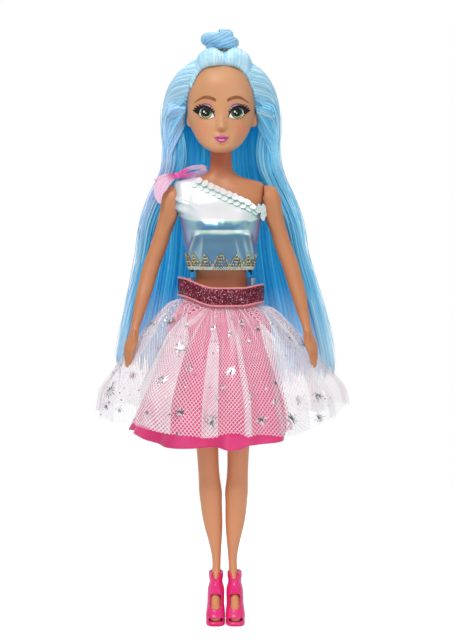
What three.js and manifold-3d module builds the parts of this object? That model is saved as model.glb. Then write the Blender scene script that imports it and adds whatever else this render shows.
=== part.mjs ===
// A dressed fashion doll, 29 cm tall, standing on high platform shoes.
// Millimetres, +Z up. The doll faces -Y, and its own left hand is on the +X side.
// The origin is on the ground, under the middle of its outline.

import * as THREE from "three";
import { mergeVertices } from "three/addons/utils/BufferGeometryUtils.js";
import Module from "manifold-3d";

const wasm = await Module();
wasm.setup();

// Gaps and walls

const fit = 0.3; // between pieces that touch
const cutOverrun = 60; // how far a cutting tool runs past what it cuts
const plasticWall = 2; // moulded torso
const vinylWall = 2.4; // soft head
const clothWall = 0.8;
const trimWall = 1.2;

// Levels above the ground

const hipRise = 147;
const torsoRise = 93; // hip axle to the top of the neck
const shoulderShare = 0.715;
const shoulderRise = hipRise + torsoRise * shoulderShare;
const chinDrop = 4; // the chin hangs in front of the neck
const chinRise = hipRise + torsoRise - chinDrop;
const headHeight = 47;

// Body

const shoulderHalf = 21.3;
const chestDepth = 17;
const bustLift = 2;
const bustSpread = 8.5;
const bustRadius = 6.5;
const headHalf = 17.3;
const headFront = 18;
const headBack = 20;
const neckRadius = 5.4;
const knobRadius = 7;
const knobHeight = 6;
const knobChamfer = 1.2;
const knobStemRadius = 3.4;
const axleRadius = 2;
const axleSeat = 4; // how far an axle reaches into a limb

// Arms

const armLength = 85;
const armHalf = 4.5;
const armSpread = 27.4; // how far the fingertips stand out from the shoulder
const armForward = 16;

// Legs and shoes

const thighHalf = 8.2;
const legDepth = 11.5;
const hipForward = -0.9;
const legGap = 3.3; // hip joint face from the middle
const crotchHalf = 3;
const legLean = 2.2; // feet to the doll's left of the body's middle
const footSpread = 5.05;
const shoeHalf = 4.85;
const shoeLength = 17;
const shoeRise = hipRise / 6;
const heelHalf = 2.6;
const heelShare = 0.57;
const heelRise = shoeRise * heelShare;
const heelReach = 9.8;
const instepHalf = 3.1;
const instepHeightShare = 0.155;
const instepHeight = shoeRise * instepHeightShare;
const instepShare = 0.48;
const instepRise = shoeRise * instepShare;

// Hair

const hairHalf = 28.3;
const hairBack = 27;
const napeLift = 6; // lower edge of the hair above the chin
const crownLift = 2; // hair over the top of the head
const hairCapRise = chinRise + napeLift;
const hairCapHeight = headHeight - napeLift + crownLift;
const hairlineHalf = 18;
const hairlineHeight = 22.5;
const hairlineFront = 2; // hair starts this far in front of the ears
const hairWall = 4;
const hairDrop = 121; // length of the fall below the cap
const hairSpread = 57;
const hairReach = 51; // back of the fall behind the neck
const lockGap = 0.6;
const poofHalf = 12;
const poofDepth = 9;
const poofHeight = 6.5;
const poofHalfHeight = 7.8;
const poofForward = 9;
const bunHalf = 8.2;
const bunHeight = 11.2;
const bunBack = 2;
const tieRadius = 3.2;
const tieThickness = 1.1;

// Top

const topHemShare = 1 / 3;
const topHemRise = hipRise + torsoRise * topHemShare;
const topEase = 5; // how far the hem stands off the waist
const strapEdge = -11.3;
const strapLift = 10;
const strapRise = shoulderRise + strapLift;
const neckEdge = 20.7;
const neckEdgeDrop = 4.5;
const neckEdgeRise = shoulderRise - neckEdgeDrop;
const armholeRadius = 8.2;
const armholeEdge = 18.4;
const neckTrimWidth = 5;
const hemBraidHeight = 8;
const tapeWidth = 2.4;
const tapeHeight = 9;
const tapeWall = 0.9;
const tapeDrop = 3.6;

// Bow on the right shoulder

const bowSide = -20;
const bowLift = 1.5; // over the strap
const bowRise = strapRise + bowLift;
const bowForward = 7.8;
const knotRadius = 2.4;
const loopLength = 13;
const loopHeight = 5.4;
const loopWall = 2.2;
const outerLoopHalf = 5.9;
const outerLoopForward = 4.2;
const tailLength = 19;
const tailHalf = 3;
const tailAside = 8.84;
const loopTilt = 0.2;
const tailTilt = 0.25;

// Waist clip

const clipDrop = 8.6; // below the hem of the top
const clipRise = topHemRise - clipDrop;
const clipHeight = 4.6;
const clipWall = 1.2;
const clipFlare = 2.2;

// Skirt

const bandHalf = 21.3;
const bandDepth = 17.5;
const bandHeight = 8.6;
const bandDrop = 14.6; // below the hem of the top
const bandRise = topHemRise - bandDrop; // lower edge at the sides
const bandWall = 1;
const bandTiltShare = 0.2; // the front hangs lower than the back
const bandRollShare = 0.05; // the right side hangs higher than the left
const pipingWidth = 1.2;
const underskirtHalf = 40;
const underskirtDepth = 31;
const underskirtLength = 72.4;
const underskirtHem = bandRise - underskirtLength;
const underskirtWall = 1;
const underskirtFold = 2.2;
const underskirtFolds = 9;
const overskirtHalf = 61.5;
const overskirtDepth = 44;
const overskirtLength = 70.4;
const overskirtHem = bandRise - overskirtLength;
const overskirtWall = 1.1;
const overskirtFold = 3.2;
const overskirtFolds = 11;
const hemLift = 10; // the hem rises at the sides
const skirtInset = 1.4; // skirt top inside the band

// Counts

const bodySides = 20;
const limbSides = 14;
const headSides = 32;
const hoopSteps = 30;
const foldSteps = 4; // faces round one fold
const hairSteps = 7;
const hairRows = 12;

// Materials

const paint = (color, roughness, metalness = 0, opacity = 1) =>
  new THREE.MeshStandardMaterial({ color, roughness, metalness, opacity, transparent: opacity < 1 });
const skin = paint("#e0a577", 0.45);
const faceSkin = paint("#e3aa7d", 0.5);
const hairFibre = paint("#35a8d8", 0.35);
const hairBand = paint("#a98f3c", 0.4);
const foilFabric = paint("#bcd6da", 0.3, 0.3);
const sequinTrim = paint("#d8f3ea", 0.25, 0.2);
const metalBraid = paint("#b8a36a", 0.4, 0.5);
const blackTape = paint("#17161a", 0.9);
const chiffon = paint("#f7b5dc", 0.8);
const clearPlastic = paint("#eef3f6", 0.1, 0, 0.35);
const glitterElastic = paint("#8a1f45", 0.7);
const pipingCord = paint("#e88a96", 0.7);
const satin = paint("#e83a80", 0.35);
const tulle = paint("#f4f2f5", 0.85, 0, 0.6);
const shoePlastic = paint("#f5307f", 0.3);
const innerPlastic = paint("#d9c9b6", 0.6);

// Shared shapes

const point = (x, y, z) => new THREE.Vector3(x, y, z);

function geometryFrom(points, faces) {
  const geometry = new THREE.BufferGeometry();
  const numbers = points.flatMap((p) => [p.x, p.y, p.z]);
  geometry.setAttribute("position", new THREE.Float32BufferAttribute(numbers, 3));
  geometry.setIndex(faces);
  geometry.computeVertexNormals();
  return geometry;
}

// A level ring, counter-clockwise from above. front and back are its two ends along y, and
// a crowd over zero draws its points towards the front.
function ring({ x = 0, z, half, front, back, square = 2, sides = bodySides, crowd = 0 }) {
  const bend = (value) => Math.sign(value) * Math.abs(value) ** (2 / square);
  const middle = (front + back) / 2;
  const depth = (back - front) / 2;
  return Array.from({ length: sides }, (_, i) => {
    const even = (2 * Math.PI * i) / sides;
    const turn = even - crowd * Math.cos(even);
    return point(x + half * bend(Math.cos(turn)), middle + depth * bend(Math.sin(turn)), z);
  });
}

// A solid through level rings from the lowest to the highest, capped at both ends.
function loft(rings) {
  const sides = rings[0].length;
  const points = rings.flat();
  const faces = [];
  const centre = (loop) => loop.reduce((sum, p) => sum.add(p), point(0, 0, 0)).divideScalar(sides);
  const low = points.push(centre(rings[0])) - 1;
  const high = points.push(centre(rings.at(-1))) - 1;
  const top = (rings.length - 1) * sides;
  for (let j = 0; j < sides; j += 1) {
    const k = (j + 1) % sides;
    for (let i = 0; i < top; i += sides) {
      faces.push(i + j, i + k, i + sides + k, i + j, i + sides + k, i + sides + j);
    }
    faces.push(low, k, j, high, top + j, top + k);
  }
  return geometryFrom(points, faces);
}

// A wall between two matching grids of points, rows from low to high and columns
// counter-clockwise from above. A closed wall goes all the way round.
function wall(outside, inside, closed) {
  const rows = outside.length;
  const columns = outside[0].length;
  const faces = [];
  const at = (side, i, j) => (side * rows + i) * columns + (j % columns);
  const quad = (a, b, c, d) => faces.push(a, b, c, a, c, d);
  const last = closed ? columns : columns - 1;
  for (let j = 0; j < last; j += 1) {
    for (let i = 0; i + 1 < rows; i += 1) {
      quad(at(0, i, j), at(0, i, j + 1), at(0, i + 1, j + 1), at(0, i + 1, j));
      quad(at(1, i, j), at(1, i + 1, j), at(1, i + 1, j + 1), at(1, i, j + 1));
    }
    quad(at(0, 0, j), at(1, 0, j), at(1, 0, j + 1), at(0, 0, j + 1));
    quad(at(0, rows - 1, j), at(0, rows - 1, j + 1), at(1, rows - 1, j + 1), at(1, rows - 1, j));
  }
  for (let i = 0; !closed && i + 1 < rows; i += 1) {
    quad(at(0, i, 0), at(0, i + 1, 0), at(1, i + 1, 0), at(1, i, 0));
    quad(at(0, i, last), at(1, i, last), at(1, i + 1, last), at(0, i + 1, last));
  }
  return geometryFrom([...outside.flat(), ...inside.flat()], faces);
}

// More rows through the rows of a table, on a smooth line through each column.
function refine(rows, count) {
  return Array.from({ length: count }, (_, k) => {
    const along = (k / (count - 1)) * (rows.length - 1);
    const i = Math.min(Math.floor(along), rows.length - 2);
    const t = along - i;
    const at = (n) => rows[THREE.MathUtils.clamp(n, 0, rows.length - 1)];
    return rows[0].map((_value, c) => {
      const [before, from, to, after] = [at(i - 1)[c], at(i)[c], at(i + 1)[c], at(i + 2)[c]];
      const leave = (to - before) / 2;
      const arrive = (after - from) / 2;
      const slope = 3 * (to - from) - 2 * leave - arrive;
      const curl = 2 * (from - to) + leave + arrive;
      return from + t * (leave + t * (slope + t * curl));
    });
  });
}

// Between two rows of a table whose first column is a rising share
function rowAt(rows, share) {
  const i = THREE.MathUtils.clamp(rows.findIndex((row) => row[0] > share) - 1, 0, rows.length - 2);
  const t = THREE.MathUtils.clamp((share - rows[i][0]) / (rows[i + 1][0] - rows[i][0]), 0, 1);
  return rows[i].map((value, c) => value + t * (rows[i + 1][c] - value));
}

function solidOf(geometry) {
  const bare = geometry.clone();
  bare.deleteAttribute("normal");
  bare.deleteAttribute("uv");
  const merged = mergeVertices(bare);
  const vertProperties = new Float32Array(merged.attributes.position.array);
  const triVerts = new Uint32Array(merged.index.array);
  return new wasm.Manifold(new wasm.Mesh({ numProp: 3, vertProperties, triVerts }));
}

function geometryOf(solid) {
  const mesh = solid.getMesh();
  const geometry = new THREE.BufferGeometry();
  geometry.setAttribute("position", new THREE.BufferAttribute(mesh.vertProperties, mesh.numProp));
  geometry.setIndex(new THREE.BufferAttribute(mesh.triVerts, 1));
  geometry.computeVertexNormals();
  return geometry;
}

const block = (x0, x1, y0, y1, z0, z1) => {
  const geometry = new THREE.BoxGeometry(x1 - x0, y1 - y0, z1 - z0);
  return solidOf(geometry.translate((x0 + x1) / 2, (y0 + y1) / 2, (z0 + z1) / 2));
};

// A round bar along x
const bar = (radius, x0, x1, y, z, sides = bodySides) => {
  const geometry = new THREE.CylinderGeometry(radius, radius, x1 - x0, sides).rotateZ(Math.PI / 2);
  return geometry.translate((x0 + x1) / 2, y, z);
};

const egg = (x, y, z, halfX, halfY, halfZ, sides = limbSides) =>
  new THREE.SphereGeometry(1, sides, Math.ceil(sides / 2)).scale(halfX, halfY, halfZ).translate(x, y, z);

const hill = (x, z, x0, z0, radiusX, radiusZ) =>
  Math.exp(-(((x - x0) / radiusX) ** 2) - ((z - z0) / radiusZ) ** 2);

const doll = new THREE.Group();

function add(name, shape, material, parent = doll) {
  const geometry = shape.isBufferGeometry ? shape : geometryOf(shape);
  const mesh = new THREE.Mesh(geometry, material);
  mesh.name = name;
  parent.add(mesh);
  return mesh;
}

// Torso: rise, half width, front, back, how far the surface faces up, and the top's ease

const torsoShares = [
  [-0.1, 0.3, 0.35, 0.45, 0, 0],
  [-0.06, 0.62, 0.58, 0.68, 0, 0],
  [0.0, 0.88, 0.66, 0.78, 0, 0],
  [0.05, 0.91, 0.68, 0.8, 0, 0],
  [0.12, 0.84, 0.66, 0.72, 0, 0.3],
  [0.2, 0.69, 0.6, 0.58, 0, 0.8],
  [0.29, 0.6, 0.56, 0.5, 0, 0.85],
  [0.36, 0.63, 0.61, 0.5, 0, 0.7],
  [0.42, 0.7, 0.7, 0.53, 0, 0.52],
  [0.5, 0.79, 0.9, 0.56, 0, 0.3],
  [0.57, 0.84, 0.97, 0.57, 0, 0.24],
  [0.63, 0.89, 0.86, 0.55, 0, 0.16],
  [0.69, 0.96, 0.66, 0.52, 0, 0.1],
  [0.75, 0.985, 0.5, 0.46, 0.3, 0.06],
  [0.79, 0.95, 0.38, 0.4, 1, 0.06],
  [0.81, 0.74, 0.34, 0.37, 1, 0.06],
  [0.83, 0.48, 0.31, 0.34, 1, 0.06],
  [0.86, 0.3, 0.29, 0.31, 0.5, 0.06],
  [0.92, 0.255, 0.27, 0.3, 0, 0],
  [1.035, 0.255, 0.27, 0.3, 0, 0],
];

function torsoLoft(rows, growOf) {
  const rings = rows.map((row) => {
    const [rise, half, front, back, lift] = row;
    const grow = growOf(row);
    const loop = ring({
      z: hipRise + rise * torsoRise + lift * grow,
      half: half * shoulderHalf + grow,
      front: -front * chestDepth - grow,
      back: back * chestDepth + grow,
      square: 2.3,
    });
    const bust = rowAt(torsoShares, 0.565)[0] * torsoRise + hipRise;
    loop.filter((p) => p.y < 0).forEach((p) => {
      p.y -= bustLift * hill(Math.abs(p.x), p.z, bustSpread, bust, bustRadius, bustRadius);
    });
    return loop;
  });
  return solidOf(loft(rings));
}

const hollowRows = torsoShares.filter(([rise]) => rise >= 0.12 && rise <= 0.75);
const shoulderAxle = bar(axleRadius, -shoulderHalf - axleSeat, shoulderHalf + axleSeat, 0, shoulderRise, 12);
const hipAxle = bar(axleRadius, -legGap - axleSeat * 2, legGap + axleSeat * 2, -hipForward, hipRise, 12);
const axleRoom = (reach, y, z) => solidOf(bar(axleRadius + fit, -reach, reach, y, z, 12));

// Room for a thigh that swings: the round of the joint, and the way it takes forward and back
function hipRoom(side) {
  const inner = side * crotchHalf;
  const outer = side * cutOverrun;
  const [x0, x1] = [Math.min(inner, outer), Math.max(inner, outer)];
  const reach = legDepth + fit;
  const round = solidOf(bar(reach, x0, x1, -hipForward, hipRise));
  const ahead = block(x0, x1, -cutOverrun, -hipForward, hipRise - cutOverrun, hipRise + reach);
  const swingBackShare = 0.36;
  const behind = block(x0, x1, -hipForward, cutOverrun, hipRise - cutOverrun, hipRise + reach * swingBackShare);
  return round.add(ahead).add(behind);
}

const torso = torsoLoft(torsoShares, () => 0)
  .subtract(torsoLoft(hollowRows, () => -plasticWall))
  .subtract(hipRoom(1))
  .subtract(hipRoom(-1))
  .subtract(axleRoom(cutOverrun, 0, shoulderRise))
  .subtract(axleRoom(cutOverrun, -hipForward, hipRise));
const frontHalf = block(-cutOverrun, cutOverrun, -cutOverrun, 0, 0, hipRise + cutOverrun * 3);
const backHalf = block(-cutOverrun, cutOverrun, 0, cutOverrun, 0, hipRise + cutOverrun * 3);
add("torso_front", torso.intersect(frontHalf), skin);
add("torso_back", torso.intersect(backHalf), skin);
add("shoulder_axle", shoulderAxle, innerPlastic);
add("hip_axle", hipAxle, innerPlastic);

// Neck knob: a mushroom that the soft head snaps over

const neckTop = hipRise + torsoShares.at(-1)[0] * torsoRise;
const knobProfile = [
  [0, fit],
  [knobStemRadius, fit],
  [knobStemRadius, knobHeight / 2],
  [knobRadius, knobHeight / 2],
  [knobRadius - knobChamfer, knobHeight],
  [0, knobHeight],
].map(([radius, rise]) => new THREE.Vector2(radius, rise));
const knob = new THREE.LatheGeometry(knobProfile, 20).rotateX(Math.PI / 2);
add("neck_knob", knob, innerPlastic).position.z = neckTop;

// Head: rise, half width, front, back

const headGroup = new THREE.Group();
headGroup.position.z = chinRise;
doll.add(headGroup);

const headShares = [
  [0.0, 0.16, -0.92, -0.42],
  [0.03, 0.36, -0.99, -0.16],
  [0.08, 0.55, -1.02, 0.15],
  [0.15, 0.7, -1.02, 0.4],
  [0.24, 0.83, -1.0, 0.65],
  [0.34, 0.94, -0.97, 0.85],
  [0.45, 0.99, -0.95, 0.95],
  [0.56, 1.0, -0.98, 1.0],
  [0.67, 0.99, -1.01, 1.0],
  [0.77, 0.93, -0.97, 0.93],
  [0.87, 0.79, -0.84, 0.78],
  [0.95, 0.54, -0.58, 0.54],
  [1.0, 0.22, -0.26, 0.25],
];

const noseRise = 13.6;
const noseReach = 3;
const noseHalf = 2.2;
const noseHeight = 2.9;
const bridgeReach = 1.2;
const bridgeHeight = 6;
const eyeRise = 20.5;
const eyeSpread = 7.35;
const eyeHalf = 4.2;
const eyeHeight = 3.4;
const eyeDepth = 0.9;
const mouthRise = 7.4;
const mouthHalf = 3.8;
const mouthHeight = 1.7;
const mouthReach = 1.1;
const earRise = 18;
const earBack = 1;
const earHeight = 4.4;
const earHalf = 2.7;
const earReach = 2.4;

function faceRelief(p) {
  const side = Math.abs(p.x);
  const nose = noseReach * hill(p.x, p.z, 0, noseRise, noseHalf, noseHeight);
  const bridge = bridgeReach * hill(p.x, p.z, 0, noseRise + bridgeHeight, noseHalf, bridgeHeight);
  const lips = mouthReach * hill(p.x, p.z, 0, mouthRise, mouthHalf, mouthHeight);
  const socket = eyeDepth * hill(side, p.z, eyeSpread, eyeRise, eyeHalf, eyeHeight);
  return nose + bridge + lips - socket;
}

function headLoft(rows, grow, relief, sides = bodySides) {
  const rings = rows.map(([rise, half, front, back]) => {
    const loop = ring({
      z: rise * headHeight + (rise - 0.5) * 2 * grow,
      half: half * headHalf + grow,
      front: (front < 0 ? headFront : headBack) * front - grow,
      back: (back < 0 ? headFront : headBack) * back + grow,
      square: 2.15,
      sides,
      crowd: 0.5,
    });
    loop.filter((p) => relief && p.y < 0).forEach((p) => {
      p.y -= faceRelief(p);
    });
    return loop;
  });
  return solidOf(loft(rings));
}

const earOf = (side, room) => solidOf(
  egg(side * headHalf, earBack, earRise, earReach + room, earHalf + room, earHeight + room, 10));
const headRows = refine(headShares, 19);
const cavityRows = headShares.slice(2, -1);
const neckRoomRadius = neckRadius + fit * 2;
const neckRoom = new THREE.CylinderGeometry(neckRoomRadius, neckRoomRadius, headHeight / 3, 20);
const head = headLoft(headRows, 0, true, headSides)
  .add(earOf(1, 0))
  .add(earOf(-1, 0))
  .subtract(headLoft(cavityRows, -vinylWall, false))
  .subtract(solidOf(neckRoom.rotateX(Math.PI / 2)));
add("head", head, faceSkin, headGroup);

// Hair on the head: rise, half width, front, back

const capShares = [
  [0.0, 0.93, -0.1, 0.82],
  [0.18, 0.98, -0.18, 0.92],
  [0.36, 1.0, -0.32, 1.0],
  [0.54, 0.94, -0.5, 1.0],
  [0.7, 0.8, -0.62, 0.92],
  [0.84, 0.58, -0.6, 0.76],
  [0.94, 0.36, -0.42, 0.52],
  [1.0, 0.12, -0.14, 0.2],
];

const capRings = refine(capShares, 9).map(([rise, half, front, back]) =>
  ring({
    z: hairCapRise + rise * hairCapHeight,
    half: half * hairHalf,
    front: front * hairBack,
    back: back * hairBack,
    square: 2.1,
  }));
const faceWindow = new THREE.CylinderGeometry(1, 1, cutOverrun, bodySides)
  .scale(hairlineHalf, 1, hairlineHeight)
  .translate(0, -cutOverrun / 2 - hairlineFront, chinRise + earRise + fit);
const skullRoom = headLoft(headShares, fit, false, headSides).translate([0, 0, chinRise]);
const earRooms = earOf(1, fit).add(earOf(-1, fit)).translate([0, 0, chinRise]);
const cap = solidOf(loft(capRings))
  .subtract(skullRoom)
  .subtract(earRooms)
  .subtract(solidOf(faceWindow));
add("hair_cap", cap, hairFibre);

const crownRise = hairCapRise + hairCapHeight;
const capRoom = solidOf(loft(capRings));
const poof = solidOf(egg(0, -poofForward, crownRise - poofHeight, poofHalf, poofDepth, poofHalfHeight))
  .subtract(capRoom.translate([0, -fit, fit]));
add("hair_poof", poof, hairFibre);

// Bun: three turns of twisted hair, each smaller and leaning the other way, and its tie below
const tieRise = crownRise + fit + tieThickness;
const tie = new THREE.TorusGeometry(tieRadius, tieThickness, 6, 14).translate(0, bunBack, tieRise);
add("hair_tie", tie, hairBand);
const bunFoot = tieRise + tieThickness + fit;
const bunShares = [
  [0.32, 0.16, 0.74, 0.3],
  [0.52, -0.14, 0.98, 0.32],
  [0.78, 0.06, 0.8, 0.24],
];
const bunTurns = bunShares.map(([rise, aside, half, height]) => solidOf(egg(
  aside * bunHalf, bunBack, bunFoot + rise * bunHeight,
  half * bunHalf, half * bunHalf, height * bunHeight, 12)));
const bunCore = solidOf(new THREE.CylinderGeometry(tieRadius, tieRadius, bunHeight / 2, 12)
  .rotateX(Math.PI / 2)
  .translate(0, bunBack, bunFoot + bunHeight / 4));
add("hair_bun", bunTurns.reduce((sum, turn) => sum.add(turn), bunCore), hairFibre);

// Hair fall: a curtain round the back in three locks.
// Rows: drop, half width, middle of its curve, its depth, how far round it reaches
const fallShares = [
  [0.0, 0.46, 0.06, 0.37, 1.17],
  [0.08, 0.46, 0.1, 0.33, 1.1],
  [0.15, 0.5, 0.24, 0.2, 1.0],
  [0.22, 0.6, 0.26, 0.14, 1.0],
  [0.34, 0.68, 0.27, 0.14, 1.0],
  [0.46, 0.74, 0.3, 0.18, 1.0],
  [0.58, 0.81, 0.33, 0.28, 1.0],
  [0.68, 0.88, 0.33, 0.4, 1.0],
  [0.8, 0.95, 0.31, 0.53, 1.0],
  [0.91, 1.0, 0.31, 0.64, 0.98],
  [1.0, 1.01, 0.34, 0.67, 0.96],
];

function lock(name, from, to) {
  const skin = [0, 1].map((side) => refine(fallShares, hairRows).reverse().map((row) => {
    const [drop, half, middle, depth, round] = row;
    const inset = side * hairWall;
    return Array.from({ length: hairSteps }, (_, k) => {
      const share = from + (k / (hairSteps - 1)) * (to - from);
      const turn = (Math.PI / 2) * (1 - share * round);
      const x = Math.cos(turn) * (half * hairSpread - inset);
      const y = middle * hairReach + Math.sin(turn) * (depth * hairReach - inset);
      return point(x, y, hairCapRise - fit - drop * hairDrop);
    });
  }));
  add(name, wall(skin[0], skin[1], false), hairFibre);
}

const third = 1 / 3;
const parting = lockGap / hairSpread;
lock("hair_lock_left", 1, third + parting);
lock("hair_lock_middle", third, -third);
lock("hair_lock_right", -third - parting, -1);

// Arms: drop, outward, half width, half depth, forward
const armShares = [
  [1.0, 1.0, 0.2, 0.2, 1.0],
  [0.96, 0.95, 0.38, 0.55, 0.97],
  [0.91, 0.89, 0.58, 0.78, 0.93],
  [0.85, 0.84, 0.64, 0.82, 0.87],
  [0.79, 0.79, 0.52, 0.62, 0.79],
  [0.74, 0.76, 0.5, 0.51, 0.72],
  [0.68, 0.71, 0.64, 0.64, 0.6],
  [0.58, 0.64, 0.84, 0.82, 0.44],
  [0.49, 0.565, 0.94, 0.93, 0.27],
  [0.39, 0.48, 0.98, 0.98, 0.14],
  [0.28, 0.35, 1.0, 1.02, 0.04],
  [0.16, 0.245, 0.94, 1.11, 0],
  [0.06, 0.182, 0.9, 1.33, 0],
  [0.0, 0.162, 0.9, 1.42, 0],
  [-0.04, 0.14, 0.76, 1.2, 0],
  [-0.075, 0.105, 0.5, 0.6, 0],
];

for (const [side, name] of [[1, "arm_left"], [-1, "arm_right"]]) {
  const rings = armShares.map(([drop, outward, half, depth, forward]) => ring({
    x: side * (outward * armSpread + fit),
    z: -drop * armLength,
    half: half * armHalf,
    front: -forward * armForward - depth * armHalf,
    back: -forward * armForward + depth * armHalf,
    sides: limbSides,
  }));
  const bore = solidOf(bar(axleRadius + fit, -axleSeat - fit * 2, axleSeat + fit * 2, 0, 0, 12));
  const arm = add(name, solidOf(loft(rings)).subtract(bore), skin);
  arm.position.set(side * shoulderHalf, 0, shoulderRise);
}

// Legs from the toes up: rise, middle, half width, front, back
const legShares = [
  [0.02, 0.45, 0.36, -1.18, -0.5],
  [0.028, 0.45, 0.44, -1.3, -0.38],
  [0.045, 0.45, 0.46, -1.22, -0.12],
  [0.065, 0.445, 0.44, -0.96, 0.2],
  [0.085, 0.44, 0.4, -0.7, 0.54],
  [0.105, 0.43, 0.38, -0.45, 0.84],
  [0.126, 0.42, 0.35, -0.22, 0.93],
  [0.15, 0.4, 0.3, -0.02, 0.88],
  [0.177, 0.375, 0.26, 0.14, 0.77],
  [0.218, 0.37, 0.29, 0.09, 0.7],
  [0.272, 0.42, 0.43, -0.1, 0.75],
  [0.32, 0.48, 0.57, -0.22, 0.79],
  [0.36, 0.53, 0.64, -0.3, 0.78],
  [0.41, 0.57, 0.68, -0.4, 0.66],
  [0.45, 0.59, 0.72, -0.5, 0.56],
  [0.51, 0.65, 0.65, -0.52, 0.54],
  [0.61, 0.705, 0.7, -0.62, 0.7],
  [0.71, 0.78, 0.84, -0.72, 0.84],
  [0.82, 0.88, 1.0, -0.82, 0.96],
  [0.92, 1.02, 0.99, -0.9, 1.06],
  [1.0, 1.02, 0.98, -0.92, 1.08],
  [1.08, 0.96, 0.84, -0.92, 1.08],
];
const legMiddle = 11.2;

function legLoft(side, grow, rows) {
  return solidOf(loft(rows.map(([rise, middle, half, front, back]) => ring({
    x: side * middle * legMiddle + legLean * (1 - rise),
    z: rise * hipRise - (rise < 0.03 ? grow : 0),
    half: half * thighHalf + grow,
    front: front * legDepth - grow,
    back: back * legDepth + grow,
    sides: limbSides,
  }))));
}

const shinRows = legShares.filter(([rise]) => rise < 0.3);
const legCap = solidOf(bar(legDepth, -cutOverrun, cutOverrun, -hipForward, hipRise))
  .add(block(-cutOverrun, cutOverrun, -cutOverrun, cutOverrun, 0, hipRise));

// Shoes: rise, half width, front, back
const shoeShares = [
  [0.0, 0.96, -0.98, -0.08],
  [0.1, 1.0, -1.02, -0.04],
  [0.2, 1.0, -1.0, 0.06],
  [0.33, 0.98, -0.9, 0.2],
  [0.45, 0.96, -0.74, 0.44],
  [0.57, 0.94, -0.54, 0.67],
  [0.69, 0.9, -0.34, 0.74],
  [0.81, 0.84, -0.2, 0.73],
  [1.0, 0.76, -0.08, 0.68],
];

for (const [side, word] of [[1, "left"], [-1, "right"]]) {
  const legRoom = bar(axleRadius + fit, -legGap - axleSeat * 3, legGap + axleSeat * 3, -hipForward, hipRise, 12);
  const leg = legLoft(side, 0, legShares).intersect(legCap).subtract(solidOf(legRoom));
  add(`leg_${word}`, leg, skin);
  const shoeX = side * footSpread + legLean;
  const upper = solidOf(loft(shoeShares.map(([rise, half, front, back]) => ring({
    x: shoeX,
    z: rise * shoeRise,
    half: half * shoeHalf,
    front: front * shoeLength,
    back: back * shoeLength,
    square: 2.4,
    sides: 16,
  }))));
  const heel = solidOf(new THREE.CylinderGeometry(heelHalf * 1.3, heelHalf, heelRise, limbSides)
    .rotateX(Math.PI / 2)
    .translate(shoeX, heelReach, heelRise / 2));
  const instep = solidOf(new THREE.CylinderGeometry(1, 1, shoeLength, limbSides)
    .scale(instepHalf, 1, instepHeight)
    .translate(shoeX, -shoeLength / 2 - fit * 6, instepRise));
  const shoe = upper.add(heel).subtract(legLoft(side, fit, shinRows)).subtract(instep);
  add(`shoe_${word}`, shoe, shoePlastic);
}

// Top: a front and a back panel that follow the body and stand off it at the hem

const topRows = torsoShares.filter(([rise]) => rise > 0.25);
const easeOf = (row) => row[5] * topEase;
const topShell = (inner, outer) => torsoLoft(topRows, (row) => easeOf(row) + outer)
  .subtract(torsoLoft(torsoShares.filter(([rise]) => rise > 0.15), (row) => easeOf(row) + inner));

// Everything above a line that falls from the strap to the other armhole
function aboveNeckline(drop) {
  const slope = (neckEdgeRise - strapRise) / (neckEdge - strapEdge);
  const outline = new THREE.Shape();
  const reach = cutOverrun / 2;
  outline.moveTo(strapEdge, strapRise - drop + reach);
  outline.lineTo(strapEdge, strapRise - drop);
  outline.lineTo(neckEdge + reach, neckEdgeRise - drop + slope * reach);
  outline.lineTo(neckEdge + reach, strapRise + reach);
  const plate = new THREE.ExtrudeGeometry(outline, { depth: cutOverrun * 2, bevelEnabled: false });
  return solidOf(plate.rotateX(Math.PI / 2).translate(0, cutOverrun, 0));
}

const armholes = [1, -1].map((side) => {
  const [x0, x1] = [side * armholeEdge, side * cutOverrun].sort((a, b) => a - b);
  return solidOf(bar(armholeRadius, x0, x1, 0, shoulderRise))
    .add(block(x0, x1, -armholeRadius, armholeRadius, shoulderRise, shoulderRise + cutOverrun));
});
const outsideArms = [1, -1].map((side) => {
  const [x0, x1] = [side * (shoulderHalf - fit), side * cutOverrun].sort((a, b) => a - b);
  return block(x0, x1, -cutOverrun, cutOverrun, shoulderRise - cutOverrun, shoulderRise + cutOverrun);
});
const belowHem = block(-cutOverrun, cutOverrun, -cutOverrun, cutOverrun, 0, topHemRise);
const cutTop = (shell) => [...armholes, ...outsideArms, belowHem, aboveNeckline(0)]
  .reduce((rest, tool) => rest.subtract(tool), shell);
const topPanels = cutTop(topShell(fit, fit + clothWall));
add("top_front", topPanels.intersect(frontHalf), foilFabric);
add("top_back", topPanels.intersect(backHalf), foilFabric);
const trimLayer = cutTop(topShell(fit * 2 + clothWall, fit * 2 + clothWall + trimWall));
const trimZone = aboveNeckline(neckTrimWidth).intersect(frontHalf)
  .intersect(block(strapEdge + fit, armholeEdge, -cutOverrun, 0, 0, hipRise + cutOverrun * 2));
add("top_neck_trim", trimLayer.intersect(trimZone), sequinTrim);
const braidZone = block(-cutOverrun, cutOverrun, -cutOverrun, cutOverrun, 0, topHemRise + hemBraidHeight);
add("top_hem_braid", trimLayer.intersect(braidZone), metalBraid);

// Hook and loop tapes inside the two sides of the hem, where the top opens
const hemRow = rowAt(torsoShares, (topHemRise - hipRise) / torsoRise);
const hemHalf = hemRow[1] * shoulderHalf + easeOf(hemRow);
for (const [side, word] of [[1, "left"], [-1, "right"]]) {
  const outer = hemHalf - fit;
  const [x0, x1] = [side * outer, side * (outer - tapeWall)].sort((a, b) => a - b);
  const low = topHemRise - tapeDrop;
  const tape = block(x0, x1, -tapeWidth / 2, tapeWidth / 2, low, low + tapeHeight);
  add(`top_tape_${word}`, tape, blackTape);
}

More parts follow.
